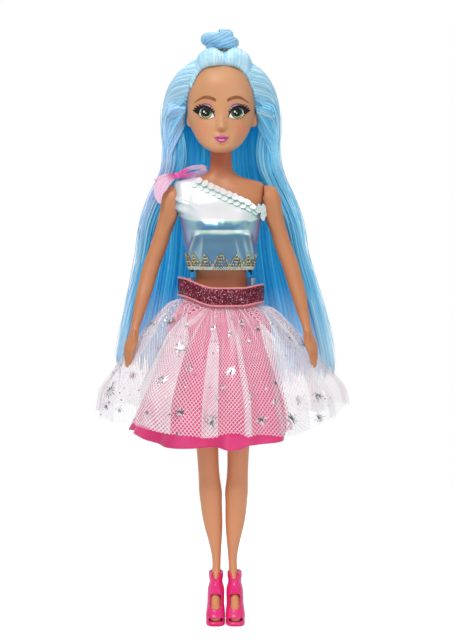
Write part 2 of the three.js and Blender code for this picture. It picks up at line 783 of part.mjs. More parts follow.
// Bow on the strap: a knot, two loops and a tail that hangs in front of the arm
const bowSeat = torsoLoft(topRows, (row) => easeOf(row) + clothWall + fit * 2);
const knotAt = [bowSide, -knotRadius, bowRise];
const bowKnot = egg(...knotAt, knotRadius, knotRadius, knotRadius);
const knotRoom = solidOf(egg(...knotAt, knotRadius + fit, knotRadius + fit, knotRadius + fit));
const bowPart = (shape) => solidOf(shape).subtract(knotRoom).subtract(bowSeat);
add("bow_knot", solidOf(bowKnot).subtract(bowSeat), chiffon);
const innerLoop = egg(0, 0, 0, loopLength / 2, loopWall, loopHeight / 2)
  .rotateY(-loopTilt)
  .translate(bowSide + loopLength / 2 + fit, -knotRadius, bowRise + loopHeight / 4);
add("bow_loop_inner", bowPart(innerLoop), chiffon);
const outerLoop = (room) => egg(0, 0, 0, outerLoopHalf + room, loopWall + room, loopHeight / 2 + room)
  .rotateY(-loopTilt)
  .translate(bowSide - outerLoopHalf - fit, -outerLoopForward, bowRise);
add("bow_loop_outer", bowPart(outerLoop(0)), chiffon);
const tail = egg(0, 0, 0, tailHalf, loopWall / 2, tailLength / 2)
  .rotateY(tailTilt)
  .translate(bowSide - tailAside, -bowForward, bowRise - tailLength / 2);
add("bow_tail", bowPart(tail).subtract(solidOf(outerLoop(fit))), chiffon);

// Waist clip: a clear C round the back of the waist, with a flared tab at each end
const clipRow = rowAt(torsoShares, (clipRise - hipRise) / torsoRise);
const clipHalf = clipRow[1] * shoulderHalf + fit + clipWall;
const clipZone = block(-cutOverrun, cutOverrun, -clipHeight / 2, cutOverrun, clipRise, clipRise + clipHeight);
const clipTabs = [1, -1].map((side) => {
  const [x0, x1] = [side * (clipHalf - clipWall), side * (clipHalf + clipFlare)].sort((a, b) => a - b);
  return block(x0, x1, -clipHeight / 2, -clipHeight / 2 + clipWall, clipRise, clipRise + clipHeight);
});
const waistGrow = (grow) => torsoLoft(torsoShares, () => grow);
const clip = waistGrow(fit + clipWall).intersect(clipZone).add(clipTabs[0]).add(clipTabs[1])
  .subtract(waistGrow(fit));
add("waist_clip", clip, clearPlastic);

// Skirt rings lean with the waistband: the front and the doll's left side are lower.
function skirtRing({ z, half, depth, lean = 1, folds = 0, fold = 0, lift = 0, phase = 0 }) {
  const steps = folds ? folds * foldSteps : hoopSteps;
  return Array.from({ length: steps }, (_, i) => {
    const turn = (2 * Math.PI * i) / steps;
    const wave = fold * Math.cos(folds * turn + phase);
    const x = (half + wave) * Math.cos(turn);
    const y = (depth + wave) * Math.sin(turn);
    const leaning = lean * (bandTiltShare * y - bandRollShare * x);
    return point(x, y, z + leaning + lift * Math.cos(turn) ** 2);
  });
}

const bandTop = bandRise + bandHeight;
const hoop = (half, depth, wallThickness, low, high) => wall(
  [low, high].map((z) => skirtRing({ z, half, depth })),
  [low, high].map((z) => skirtRing({ z, half: half - wallThickness, depth: depth - wallThickness })),
  true,
);
add("skirt_waistband", hoop(bandHalf, bandDepth, bandWall, bandRise, bandTop), glitterElastic);
const pipingHoop = (high) => hoop(
  bandHalf + pipingWidth / 2, bandDepth + pipingWidth / 2, pipingWidth, high - pipingWidth, high);
add("waistband_piping_upper", pipingHoop(bandTop + fit + pipingWidth), pipingCord);
add("waistband_piping_lower", pipingHoop(bandRise - fit), pipingCord);

// Skirt layers: drop, half width, depth, how much fold
const underskirtShares = [
  [0.0, 0.465, 0.475, 0],
  [0.048, 0.465, 0.475, 0],
  [0.1, 0.53, 0.565, 0],
  [0.18, 0.605, 0.64, 0.1],
  [0.34, 0.66, 0.68, 0.3],
  [0.6, 0.79, 0.78, 0.65],
  [1.0, 1.0, 1.0, 1.0],
];
const overskirtShares = [
  [0.0, 0.322, 0.365, 0],
  [0.048, 0.322, 0.365, 0],
  [0.085, 0.42, 0.46, 0.25],
  [0.22, 0.56, 0.6, 0.5],
  [0.33, 0.655, 0.69, 0.6],
  [0.5, 0.785, 0.81, 0.75],
  [0.65, 0.9, 0.91, 0.85],
  [0.79, 0.98, 0.98, 0.95],
  [1.0, 1.0, 1.0, 1.0],
];

function skirtLayer(shares, { top, hem, half, depth, thickness, fold, folds, lift, phase }) {
  const skin = [0, thickness].map((inset) => [...shares].reverse().map((row) => {
    const [drop, widthShare, depthShare, foldShare] = row;
    return skirtRing({
      z: top - drop * (top - hem),
      half: widthShare * half - inset,
      depth: depthShare * depth - inset,
      lean: 1 - drop,
      folds,
      fold: foldShare * fold,
      lift: lift * drop ** 3,
      phase,
    });
  }));
  return wall(skin[0], skin[1], true);
}

add("underskirt", skirtLayer(underskirtShares, {
  top: bandRise + skirtInset,
  hem: underskirtHem,
  half: underskirtHalf,
  depth: underskirtDepth,
  thickness: underskirtWall,
  fold: underskirtFold,
  folds: underskirtFolds,
  lift: hemLift / 2,
  phase: 0,
}), satin);
add("overskirt", skirtLayer(overskirtShares, {
  top: bandRise + skirtInset,
  hem: overskirtHem,
  half: overskirtHalf,
  depth: overskirtDepth,
  thickness: overskirtWall,
  fold: overskirtFold,
  folds: overskirtFolds,
  lift: hemLift,
  phase: Math.PI / 2,
}), tulle);

// The origin is under the middle of the whole doll, which the hair makes deeper at the back.
doll.position.y = -new THREE.Box3().setFromObject(doll).getCenter(point(0, 0, 0)).y;

export default doll;
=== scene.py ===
# The looks of a dressed fashion doll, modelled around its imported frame.
# Lengths in the tables are millimetres. x is across the doll, y runs from its face to its
# back, measured from the middle of its neck, and z is up from the floor.

import math
import random

import bpy
import numpy as np
from mathutils import Matrix, Vector
from mathutils.bvhtree import BVHTree


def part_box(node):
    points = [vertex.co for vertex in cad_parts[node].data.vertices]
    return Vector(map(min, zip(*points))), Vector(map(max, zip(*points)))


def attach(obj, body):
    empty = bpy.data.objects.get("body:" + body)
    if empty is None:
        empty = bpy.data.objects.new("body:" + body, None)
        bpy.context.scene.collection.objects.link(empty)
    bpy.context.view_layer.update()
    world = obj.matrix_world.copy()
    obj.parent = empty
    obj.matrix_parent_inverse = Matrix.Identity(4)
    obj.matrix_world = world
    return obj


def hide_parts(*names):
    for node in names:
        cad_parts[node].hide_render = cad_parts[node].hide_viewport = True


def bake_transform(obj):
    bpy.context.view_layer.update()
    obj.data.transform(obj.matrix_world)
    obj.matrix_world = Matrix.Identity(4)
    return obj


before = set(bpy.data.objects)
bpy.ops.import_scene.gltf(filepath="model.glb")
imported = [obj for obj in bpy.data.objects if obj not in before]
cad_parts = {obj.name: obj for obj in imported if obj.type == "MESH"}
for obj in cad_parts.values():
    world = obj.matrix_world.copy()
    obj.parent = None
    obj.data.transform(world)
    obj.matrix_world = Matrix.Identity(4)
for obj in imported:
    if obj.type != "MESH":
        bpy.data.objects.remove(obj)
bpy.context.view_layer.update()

MM = 0.001
knob_low, knob_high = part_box("neck_knob")
AXIS_Y = (knob_low.y + knob_high.y) / 2


def place(x, y, z):
    return Vector((x * MM, AXIS_Y + y * MM, z * MM))


def mix(a, b, share):
    return a + (b - a) * share


def smooth(low, high, value):
    share = min(max((value - low) / (high - low), 0.0), 1.0)
    return share * share * (3 - 2 * share)


def hill(x, z, middle_x, middle_z, radius_x, radius_z):
    return math.exp(-(((x - middle_x) / radius_x) ** 2) - ((z - middle_z) / radius_z) ** 2)


def rows_at(rows, along):
    """The rows at places along a table, on a smooth line through each column."""
    table = np.array(rows, float)
    last = len(table) - 1
    start = np.minimum(along.astype(int), last - 1)
    t = (along - start)[:, None]
    before, here = table[np.maximum(start - 1, 0)], table[start]
    there, after = table[start + 1], table[np.minimum(start + 2, last)]
    leave, arrive = (there - before) / 2, (after - here) / 2
    slope = 3 * (there - here) - 2 * leave - arrive
    curl = 2 * (here - there) + leave + arrive
    return here + t * (leave + t * (slope + t * curl))


def refine(rows, count):
    return rows_at(rows, np.linspace(0, len(rows) - 1, count))


def reader(rows, count=240):
    """A smooth table that is read at any value of its first column."""
    table = refine(rows, count)
    table = table[np.argsort(table[:, 0], kind="stable")]

    def read(value):
        return [float(np.interp(value, table[:, 0], column)) for column in table.T[1:]]

    return read


def curve_through(points, count):
    return [Vector(row) for row in refine([list(p) for p in points], count)]


# ---- Blender helpers


def deselect():
    if bpy.context.object and bpy.context.object.mode != "OBJECT":
        bpy.ops.object.mode_set(mode="OBJECT")
    bpy.ops.object.select_all(action="DESELECT")


def start_shape(operator, name=None, **settings):
    """Adds a primitive and names it."""
    deselect()
    operator(**settings)
    obj = bpy.context.object
    if name:
        obj.name = obj.data.name = name
    return obj


def show(name, data):
    obj = bpy.data.objects.new(name, data)
    bpy.context.scene.collection.objects.link(obj)
    return obj


def mesh_of(name, points, faces):
    mesh = bpy.data.meshes.new(name)
    mesh.from_pydata(points, [], faces)
    return mesh


def spot_of(vertex):
    """Where a point is, in the millimetres of the tables."""
    return vertex.co.x / MM, (vertex.co.y - AXIS_Y) / MM, vertex.co.z / MM


def squared(value, square):
    """A sine or cosine for a rounded square; 2 leaves a circle."""
    return math.copysign(abs(value) ** (2 / square), value)


def tree_of(obj):
    return BVHTree.FromObject(obj, bpy.context.evaluated_depsgraph_get())


def choose(*objects):
    deselect()
    for obj in objects:
        obj.select_set(True)
    bpy.context.view_layer.objects.active = objects[0]


def modify(obj, kind, **settings):
    """Adds a modifier and applies it."""
    choose(obj)
    modifier = obj.modifiers.new(kind.title(), kind)
    for key, value in settings.items():
        setattr(modifier, key, value)
    bpy.ops.object.modifier_apply(modifier=modifier.name)
    return obj


def edit_all(obj, *steps):
    """Runs mesh operators on a whole mesh. Each step is an operator and its settings."""
    choose(obj)
    bpy.ops.object.mode_set(mode="EDIT")
    bpy.ops.mesh.select_all(action="SELECT")
    for operator, settings in steps:
        operator(**settings)
    bpy.ops.object.mode_set(mode="OBJECT")
    return obj


def face_outwards(obj):
    return edit_all(obj, (bpy.ops.mesh.normals_make_consistent, {"inside": False}))


def shade(obj, angle=None):
    choose(obj)
    bpy.ops.object.shade_smooth()
    if angle is not None:
        bpy.ops.object.shade_smooth_by_angle(angle=math.radians(angle))
    return obj


def loft(name, rings, levels=0):
    """A closed body through rings of points: a disc, extruded once for each further ring."""
    sides = len(rings[0])
    obj = start_shape(bpy.ops.mesh.primitive_circle_add, name, vertices=sides, radius=1, fill_type="NGON")
    bpy.ops.object.mode_set(mode="EDIT")
    bpy.ops.mesh.select_all(action="SELECT")
    for _ in rings[1:]:
        bpy.ops.mesh.extrude_region_move(TRANSFORM_OT_translate={"value": (0, 0, 1)})
    bpy.ops.object.mode_set(mode="OBJECT")
    for v in obj.data.vertices:
        step = round(math.atan2(v.co.y, v.co.x) / (2 * math.pi) * sides) % sides
        v.co = rings[round(v.co.z)][step]
    face_outwards(obj)
    if levels:
        modify(obj, "SUBSURF", levels=levels, render_levels=levels)
    return shade(obj)


def cloth_grid(name, columns, rows, point_at, closed=False):
    """A sheet on a grid. Its UV map keeps the flat cut of the cloth."""
    obj = start_shape(bpy.ops.mesh.primitive_grid_add, name, x_subdivisions=columns, y_subdivisions=rows, size=2)
    for v in obj.data.vertices:
        v.co = point_at((v.co.x + 1) / 2, (v.co.y + 1) / 2)
    if closed:
        edit_all(obj, (bpy.ops.mesh.remove_doubles, {"threshold": 1e-6}))
    return shade(obj)


def thicken(obj, millimetres, offset=-1.0):
    return modify(obj, "SOLIDIFY", thickness=millimetres * MM, offset=offset)


def join(name, objects):
    choose(*objects)
    if len(objects) > 1:
        bpy.ops.object.join()
    obj = bpy.context.object
    obj.name = obj.data.name = name
    return obj


def cut(obj, tool, how="DIFFERENCE"):
    modify(obj, "BOOLEAN", object=tool, operation=how, solver="EXACT")
    bpy.data.objects.remove(tool)
    return obj


def copies(name, model, places):
    """One mesh with a copy of the model at each of the places, which are matrices."""
    shape = np.array([v.co for v in model.data.vertices])
    polygons = [tuple(p.vertices) for p in model.data.polygons]
    points, faces = [], []
    for matrix in places:
        turn = np.array(matrix.to_3x3())
        faces += [tuple(i + len(points) for i in p) for p in polygons]
        points += list(map(tuple, shape @ turn.T + np.array(matrix.translation)))
    return shade(show(name, mesh_of(name, points, faces)))


def towards(outward, along, at):
    """A matrix at a point, with z outwards and x along."""
    z = outward.normalized()
    y = z.cross(along).normalized()
    x = y.cross(z)
    return Matrix.Translation(at) @ Matrix((x, y, z)).transposed().to_4x4()


# ---- Materials


def linear(code):
    """An sRGB hex colour as linear numbers."""
    parts = [int(code[i:i + 2], 16) / 255 for i in (1, 3, 5)]
    return tuple(c / 12.92 if c <= 0.04045 else ((c + 0.055) / 1.055) ** 2.4 for c in parts) + (1.0,)


def node(tree, kind, links=None, stops=(), **settings):
    """Adds a node, sets its settings, links or fills its inputs, and gives a colour ramp its
    stops. A node among the links stands for its first output."""
    made = tree.nodes.new("ShaderNode" + kind)
    for key, value in settings.items():
        setattr(made, key, value)
    for key, value in (links or {}).items():
        if isinstance(value, bpy.types.Node):
            value = value.outputs[0]
        if isinstance(value, bpy.types.NodeSocket):
            tree.links.new(value, made.inputs[key])
        else:
            made.inputs[key].default_value = value
    for i, (spot, code) in enumerate(stops):
        element = made.color_ramp.elements[i] if i < 2 else made.color_ramp.elements.new(1.0)
        element.position = spot
        element.color = linear(code)
    return made


def material(name, **values):
    """A new material and its Principled BSDF, with fixed values on the shader's own sockets."""
    made = bpy.data.materials.new(name)
    made.use_nodes = True
    shader = made.node_tree.nodes["Principled BSDF"]
    for key, value in values.items():
        shader.inputs[key.replace("_", " ")].default_value = value
    return made, made.node_tree, shader


def apply_finish(tree, shader, colour, height=None, distance=0.0, strength=1.0):
    """Links a colour, and a bump of a depth in millimetres, to the shader."""
    tree.links.new(colour, shader.inputs["Base Color"])
    if height is not None:
        bump = node(tree, "Bump", {"Height": height, "Distance": distance * MM, "Strength": strength})
        tree.links.new(bump.outputs["Normal"], shader.inputs["Normal"])


def tint_ball(tree, middle, radii):
    """1 at a point of the doll, falling to 0 at the radii. Millimetres."""
    scale = [1 / (r * MM) for r in radii]
    shift = [-c * s for c, s in zip(place(*middle), scale)]
    spot = node(tree, "TexCoord").outputs["Object"]
    moved = node(tree, "Mapping", {"Vector": spot, "Scale": scale, "Location": shift})
    ball = node(tree, "TexGradient", {"Vector": moved}, gradient_type="SPHERICAL")
    return node(tree, "MapRange", {"Value": ball.outputs["Fac"]}, interpolation_type="SMOOTHERSTEP")


def spray_and_painted_shade(tree, colour, tints):
    """A colour with soft spots of other colours over it: airbrushed make-up, and painted light and shade."""
    for middle, radii, strength, code in tints:
        amount = node(tree, "Math", {0: tint_ball(tree, middle, radii), 1: strength}, operation="MULTIPLY")
        colour = node(tree, "Mix", {0: amount, 6: colour, 7: linear(code)}, data_type="RGBA").outputs[2]
    return colour


SKIN_DEPTHS = {"Subsurface_Radius": (0.004, 0.0016, 0.0008), "Subsurface_Scale": 0.35}


def limb_plastic():
    # Injection-moulded ABS with a sprayed skin tone: satin, with a fine orange-peel surface.
    made, tree, shader = material(
        "sprayed_skin_plastic", Roughness=0.42, IOR=1.5, Subsurface_Weight=0.12, **SKIN_DEPTHS)
    spot = node(tree, "TexCoord").outputs["Object"]
    broad = node(tree, "TexNoise", {"Vector": spot, "Scale": 55})
    tone = node(tree, "ValToRGB", {0: broad}, ((0.3, "#C27F54"), (0.7, "#CD8A5F"))).outputs[0]
    # Painted shade: the skin is redder and darker on the neck under the chin and at the waist under the top's hem. The
    # colour is also paler on the legs
    tone = spray_and_painted_shade(tree, tone, (
        ((0, -3, 233), (13, 14, 14), 0.8, "#B45537"), ((0, -3, 171), (24, 20, 11), 0.8, "#B45537")))
    height = node(tree, "SeparateXYZ", {0: spot}).outputs["Z"]
    lower = node(tree, "MapRange", {
        "Value": height, "From Min": 0.105, "From Max": 0.135, "To Min": 1.0, "To Max": 0.0})
    tone = node(tree, "Mix", {0: lower, 6: tone, 7: linear("#E59E70")}, data_type="RGBA").outputs[2]
    peel = node(tree, "TexNoise", {"Vector": spot, "Scale": 2600, "Detail": 1})
    apply_finish(tree, shader, tone, peel, 0.012, 0.4)
    return made


def face_vinyl(tints):
    # Rotocast soft vinyl, matt, with airbrushed blush and eye shadow, and painted highlight and shade round the nose,
    # lips and chin.
    made, tree, shader = material(
        "rotocast_face_vinyl", Roughness=0.45, IOR=1.48, Subsurface_Weight=0.15, **SKIN_DEPTHS)
    spot = node(tree, "TexCoord").outputs["Object"]
    broad = node(tree, "TexNoise", {"Vector": spot, "Scale": 45})
    colour = node(tree, "ValToRGB", {0: broad}, ((0.3, "#D09466"), (0.7, "#DBA176"))).outputs[0]
    pores = node(tree, "TexNoise", {"Vector": spot, "Scale": 2200, "Detail": 1})
    apply_finish(tree, shader, spray_and_painted_shade(tree, colour, tints), pores, 0.01, 0.35)
    return made


def two_tone(name, scale, low, high, detail=2.0, values=None, bump=None):
    """A finish that clouds between two colours, each at its place of the noise. A bump is
    its own noise scale, its depth in millimetres, its strength and its detail."""
    made, tree, shader = material(name, **(values or {}))
    spot = node(tree, "TexCoord").outputs["Object"]
    cloud = node(tree, "TexNoise", {"Vector": spot, "Scale": scale, "Detail": detail})
    tone = node(tree, "ValToRGB", {0: cloud}, (low, high)).outputs[0]
    if bump:
        grain = node(tree, "TexNoise", {"Vector": spot, "Scale": bump[0], "Detail": bump[3]})
        apply_finish(tree, shader, tone, grain, bump[1], bump[2])
    else:
        apply_finish(tree, shader, tone)
    return made, tree, shader


def face_paint(name, code, other, gloss=0.3):
    # Pad-printed enamel, slightly raised and glossier than the vinyl.
    values = {"Roughness": gloss, "IOR": 1.5, "Specular IOR Level": 0.3, "Coat Weight": 0.0 if gloss > 0.35 else 0.2}
    return two_tone(name, 900, (0.35, code), (0.65, other), values=values)[0]


def hair_fibre(name, dark, middle, light, accent, shine=0.34, ends=0.6, glow=0.0):
    # Rooted nylon fibre: long glossy streaks along each lock, a little different in each.
    made, tree, shader = material(name, Roughness=shine, IOR=1.53, Specular_IOR_Level=0.7, Emission_Strength=glow)
    held = node(tree, "Attribute", attribute_name="fibre").outputs["Vector"]
    parts = node(tree, "SeparateXYZ", {0: held})
    # Fibres are 0.08 mm thick; they are drawn 0.3 mm wide, to show in the picture.
    fine = node(tree, "Mapping", {"Vector": held, "Scale": (3.4, 0.05, 9.0)})
    broad = node(tree, "Mapping", {"Vector": held, "Scale": (0.9, 0.022, 7.0)})
    streak = node(tree, "TexNoise", {"Vector": fine, "Scale": 1.0, "Roughness": 0.6})
    wave = node(tree, "TexNoise", {"Vector": broad, "Scale": 1.0})
    level = 0.0
    for source, weight in ((streak, 0.45), (wave, 0.35), (parts.outputs["Z"], 0.32)):
        level = node(tree, "Math", {0: source, 1: weight, 2: level}, operation="MULTIPLY_ADD")
    colour = node(tree, "ValToRGB", {0: level}, ((0.26, dark), (0.52, middle), (0.8, light))).outputs[0]
    height = node(tree, "SeparateXYZ", {0: node(tree, "TexCoord").outputs["Object"]}).outputs["Z"]
    height = node(tree, "Math", {0: wave, 1: 0.02, 2: height}, operation="MULTIPLY_ADD")
    # The ends are bleached; the crown is painted pale, a painted highlight of the light from above
    bleach = node(tree, "MapRange", {
        "Value": height, "From Min": 0.128, "From Max": 0.178, "To Min": ends, "To Max": 0.0})
    crown = node(tree, "MapRange", {
        "Value": height, "From Min": 0.266, "From Max": 0.284, "To Min": 0.0, "To Max": 0.45})
    lilac = node(tree, "Attribute", attribute_name="lilac").outputs["Fac"]
    for amount, code in ((lilac, accent), (bleach, "#E4F7FC"), (crown, "#D5F4FB")):
        colour = node(tree, "Mix", {0: amount, 6: colour, 7: linear(code)}, data_type="RGBA").outputs[2]
    # Painted light: the fibres glow in their own colour, standing in for light that passes through them from behind
    tree.links.new(colour, shader.inputs["Emission Color"])
    apply_finish(tree, shader, colour, streak, 0.12, 0.8)
    return made


def shoe_plastic():
    # Injection-moulded soft PVC: glossy, one colour all through.
    values = {"Roughness": 0.26, "IOR": 1.52, "Subsurface Weight": 0.15, "Subsurface Radius": (0.003, 0.0006, 0.0012),
              "Subsurface Scale": 0.3}
    return two_tone("moulded_shoe_pvc", 120, (0.3, "#F22479"), (0.7, "#FC3C8E"), values=values,
                    bump=(1500, 0.015, 0.4, 1))[0]


def foil_cloth():
    # Knit laminated with iridescent foil, under a fine crackle. Its hues are the foil's own, laid out as painted
    # reflection: the colour turns from white through mint to slate blue with the slope of each fold, white where it
    # faces up to the lamps.
    made, tree, shader = material(
        "iridescent_foil_knit", Roughness=0.2, Metallic=0.35, Coat_Weight=0.6, Coat_Roughness=0.12)
    slope = node(tree, "SeparateXYZ", {0: node(tree, "NewGeometry").outputs["Normal"]})
    spot = node(tree, "TexCoord").outputs["Object"]
    cloud = node(tree, "TexNoise", {"Vector": spot, "Scale": 130, "Detail": 3})
    level = node(tree, "Math", {0: cloud, 1: 0.12, 2: 0.33}, operation="MULTIPLY_ADD")
    level = node(tree, "Math", {0: slope.outputs["Z"], 1: 0.62, 2: level}, operation="MULTIPLY_ADD")
    # Painted reflection by height: the stretched film is white over the bust, slate under it and mint along the roll
    height = node(tree, "SeparateXYZ", {0: spot}).outputs["Z"]
    for low, high, change in ((0.1936, 0.195, 0.13), (0.1974, 0.1988, -0.25), (0.2022, 0.204, 0.33)):
        film = node(tree, "MapRange", {
            "Value": height, "From Min": low, "From Max": high, "To Min": 0.0, "To Max": change,
        }, interpolation_type="SMOOTHSTEP")
        level = node(tree, "Math", {0: level, 1: film})
    colour = node(tree, "ValToRGB", {0: level}, (
        (0.1, "#5688A4"), (0.24, "#4C7CA0"), (0.4, "#5C8AB0"), (0.45, "#6A9EB8"), (0.49, "#A2D8CA"),
        (0.54, "#D2EFD6"), (0.58, "#F2FAF6"), (0.63, "#FFFFFF")))
    # Painted reflection at the sides: the colour turns with the sideways slope of the cloth
    aside = node(tree, "Math", {0: slope.outputs["X"], 1: 0.5, 2: 0.5}, operation="MULTIPLY_ADD")
    side = node(tree, "ValToRGB", {0: aside}, (
        (0.08, "#93A4D6"), (0.2, "#B5E4DC"), (0.35, "#A6C2DE"), (0.65, "#A6C2DE"), (0.82, "#B7EADA"),
        (0.93, "#8A9BD0")))
    edge = node(tree, "Math", {0: slope.outputs["X"]}, operation="ABSOLUTE")
    edge = node(tree, "MapRange", {"Value": edge, "From Min": 0.25, "From Max": 0.75, "To Min": 0.0, "To Max": 0.75})
    colour = node(tree, "Mix", {0: edge, 6: colour, 7: side}, data_type="RGBA").outputs[2]
    # Foil grains of 0.4 mm, as seen close up
    grains = node(tree, "TexVoronoi", {"Vector": spot, "Scale": 2500.0})
    apply_finish(tree, shader, colour, grains, 0.02, 0.3)
    return made


def sequin_film():
    # Thin iridescent film petals. Their white and mint are the film's own hues, laid out as painted reflection: white
    # where a petal faces up, mint where it faces down.
    made, tree, shader = material("iridescent_sequin_film", Roughness=0.18, Metallic=0.15, Coat_Weight=0.8)
    slope = node(tree, "SeparateXYZ", {0: node(tree, "NewGeometry").outputs["Normal"]})
    level = node(tree, "Math", {0: slope.outputs["Z"], 1: 0.5, 2: 0.5}, operation="MULTIPLY_ADD")
    colour = node(tree, "ValToRGB", {0: level}, (
        (0.15, "#7FD8C4"), (0.42, "#B7EDE0"), (0.6, "#F4FDFB"), (0.8, "#FFFFFF")))
    film = node(tree, "TexNoise", {"Vector": node(tree, "TexCoord").outputs["Object"], "Scale": 1800, "Detail": 1})
    apply_finish(tree, shader, colour.outputs[0], film, 0.02, 0.4)
    return made


def braid_thread(name, roughness, metal, scale, stops):
    # Metal braid: gilt thread twisted with silver and teal.
    made, tree, shader = material(name, Roughness=roughness, Metallic=metal)
    spot = node(tree, "TexCoord").outputs["Object"]
    twist = node(tree, "TexNoise", {"Vector": spot, "Scale": scale, "Roughness": 0.7})
    colour = node(tree, "ValToRGB", {0: twist}, stops)
    thread = node(tree, "TexNoise", {"Vector": spot, "Scale": 4200, "Detail": 1})
    apply_finish(tree, shader, colour.outputs[0], thread, 0.05, 0.6)
    return made


def metal_thread():
    return braid_thread("gilt_thread_braid", 0.32, 0.85, 900, (
        (0.3, "#7A6440"), (0.42, "#BFA065"), (0.52, "#EAD6A0"), (0.58, "#8FB5A8"), (0.66, "#F3E9CC")))


def silver_thread():
    return braid_thread("silver_braid_edge", 0.35, 0.6, 800, (
        (0.35, "#A89A6E"), (0.5, "#E9E6D8"), (0.62, "#BFE0D4"), (0.75, "#FFFFFF")))


def woven_tape():
    # Black hook-and-loop tape: matt, with rows of tiny hooks.
    made, tree, shader = material("hook_tape", Roughness=0.9)
    cells = node(tree, "TexVoronoi", {"Vector": node(tree, "TexCoord").outputs["Object"], "Scale": 2800.0})
    colour = node(tree, "ValToRGB", {0: cells}, ((0.1, "#33323A"), (0.6, "#0F0E12")))
    apply_finish(tree, shader, colour.outputs[0], cells, 0.12, 0.8)
    return made


def clear_plastic():
    # Clear polypropylene strip of the stand clip.
    return two_tone("clear_clip_plastic", 200, (0.3, "#DDE9F0"), (0.7, "#F3F8FB"), 1,
                    {"Roughness": 0.12, "IOR": 1.46, "Alpha": 0.42})[0]


def glitter():
    # Elastic with glued glitter: burgundy flakes 0.4 mm across, each a little different; the palest are painted glints,
    # standing in for flakes turned to the light.
    made, tree, shader = material("glitter_elastic", Roughness=0.4, Metallic=0.25)
    flakes = node(tree, "TexVoronoi", {
        "Vector": node(tree, "TexCoord").outputs["Object"], "Scale": 2500.0, "Randomness": 1.0})
    tint = node(tree, "SeparateColor", {0: flakes.outputs["Color"]})
    colour = node(tree, "ValToRGB", {0: tint}, (
        (0.0, "#2E0210"), (0.4, "#5A041E"), (0.68, "#7E0A2C"), (0.88, "#A8284C"), (0.97, "#E8A8BC")))
    shine = node(tree, "MapRange", {"Value": tint.outputs["Green"], "To Min": 0.18, "To Max": 0.55})
    tree.links.new(shine.outputs["Result"], shader.inputs["Roughness"])
    apply_finish(tree, shader, colour.outputs[0], tint.outputs["Blue"], 0.2, 0.7)
    return made


def cord_cloth(name, code, other):
    # Folded elastic binding with a fine rib.
    return two_tone(name, 1400, (0.35, code), (0.65, other), values={"Roughness": 0.7, "Sheen Weight": 0.3},
                    bump=(2400, 0.05, 0.5, 1))[0]


def satin_cloth():
    # Polyester satin, hot pink: smooth, with a soft sheen and a fine warp.
    made, tree, shader = two_tone("polyester_satin", 70, (0.3, "#E63079"), (0.7, "#F2488B"), values={
        "Roughness": 0.36, "Sheen Weight": 0.35, "Sheen Roughness": 0.4})
    # Threads every 0.4 mm of the flat cloth
    flat = node(tree, "SeparateXYZ", {0: node(tree, "TexCoord").outputs["UV"]})
    waves = []
    for axis, threads in (("X", 560), ("Y", 170)):
        turn = node(tree, "Math", {0: flat.outputs[axis], 1: threads * 2 * math.pi}, operation="MULTIPLY")
        waves.append(node(tree, "Math", {0: turn}, operation="SINE"))
    height = node(tree, "Math", {0: waves[0], 1: waves[1]}, operation="MULTIPLY")
    bump = node(tree, "Bump", {"Height": height, "Distance": 0.03 * MM, "Strength": 0.4})
    tree.links.new(bump.outputs["Normal"], shader.inputs["Normal"])
    return made


def net_cloth():
    # Nylon tulle: a white net of slanting threads with a faint haze, and denser where it is
    # gathered. Its holes are 1 mm apart; they are drawn 1.9 mm apart, to show in the picture.
    made, tree, shader = material("nylon_tulle", Roughness=0.6, Sheen_Weight=0.3)
    uv = node(tree, "TexCoord").outputs["UV"]
    flat = node(tree, "SeparateXYZ", {0: uv})
    across = node(tree, "Math", {0: flat.outputs["X"], 1: math.pi / (1.9 * MM)}, operation="MULTIPLY")
    down = node(tree, "Math", {0: flat.outputs["Y"], 1: math.pi / (2.3 * MM)}, operation="MULTIPLY")
    threads = []
    for way in ("ADD", "SUBTRACT"):
        slant = node(tree, "Math", {0: across, 1: down}, operation=way)
        wave = node(tree, "Math", {0: slant}, operation="SINE")
        threads.append(node(tree, "Math", {0: wave}, operation="ABSOLUTE"))
    gap = node(tree, "Math", {0: threads[0], 1: threads[1]}, operation="MINIMUM")
    thread = node(tree, "MapRange", {"Value": gap, "From Min": 0.14, "From Max": 0.3, "To Min": 1.0, "To Max": 0.0})
    cloud = node(tree, "TexNoise", {"Vector": node(tree, "TexCoord").outputs["Object"], "Scale": 90})
    veil = node(tree, "MapRange", {"Value": cloud, "From Min": 0.3, "From Max": 0.7, "To Min": 0.02, "To Max": 0.06})
    cover = node(tree, "Math", {0: thread, 1: veil}, operation="MAXIMUM")
    # Gathers under the band
    upright = node(tree, "Mapping", {"Vector": uv, "Scale": (1.0, 0.09, 1.0)})
    gather = node(tree, "TexNoise", {"Vector": upright, "Scale": 330, "Detail": 1})
    streak = node(tree, "MapRange", {
        "Value": gather, "From Min": 0.47, "From Max": 0.62, "To Min": 0.0, "To Max": 0.55})
    near_band = node(tree, "MapRange", {
        "Value": flat.outputs["Y"], "From Min": 0.006, "From Max": 0.042, "To Min": 1.0, "To Max": 0.0})
    streak = node(tree, "Math", {0: streak, 1: near_band}, operation="MULTIPLY")
    cover = node(tree, "Math", {0: cover, 1: streak}, operation="MAXIMUM")
    tree.links.new(cover.outputs[0], shader.inputs["Alpha"])
    tone = node(tree, "ValToRGB", {0: cloud}, ((0.3, "#F6F3F8"), (0.7, "#FFFFFF")))
    apply_finish(tree, shader, tone.outputs[0])
    return made


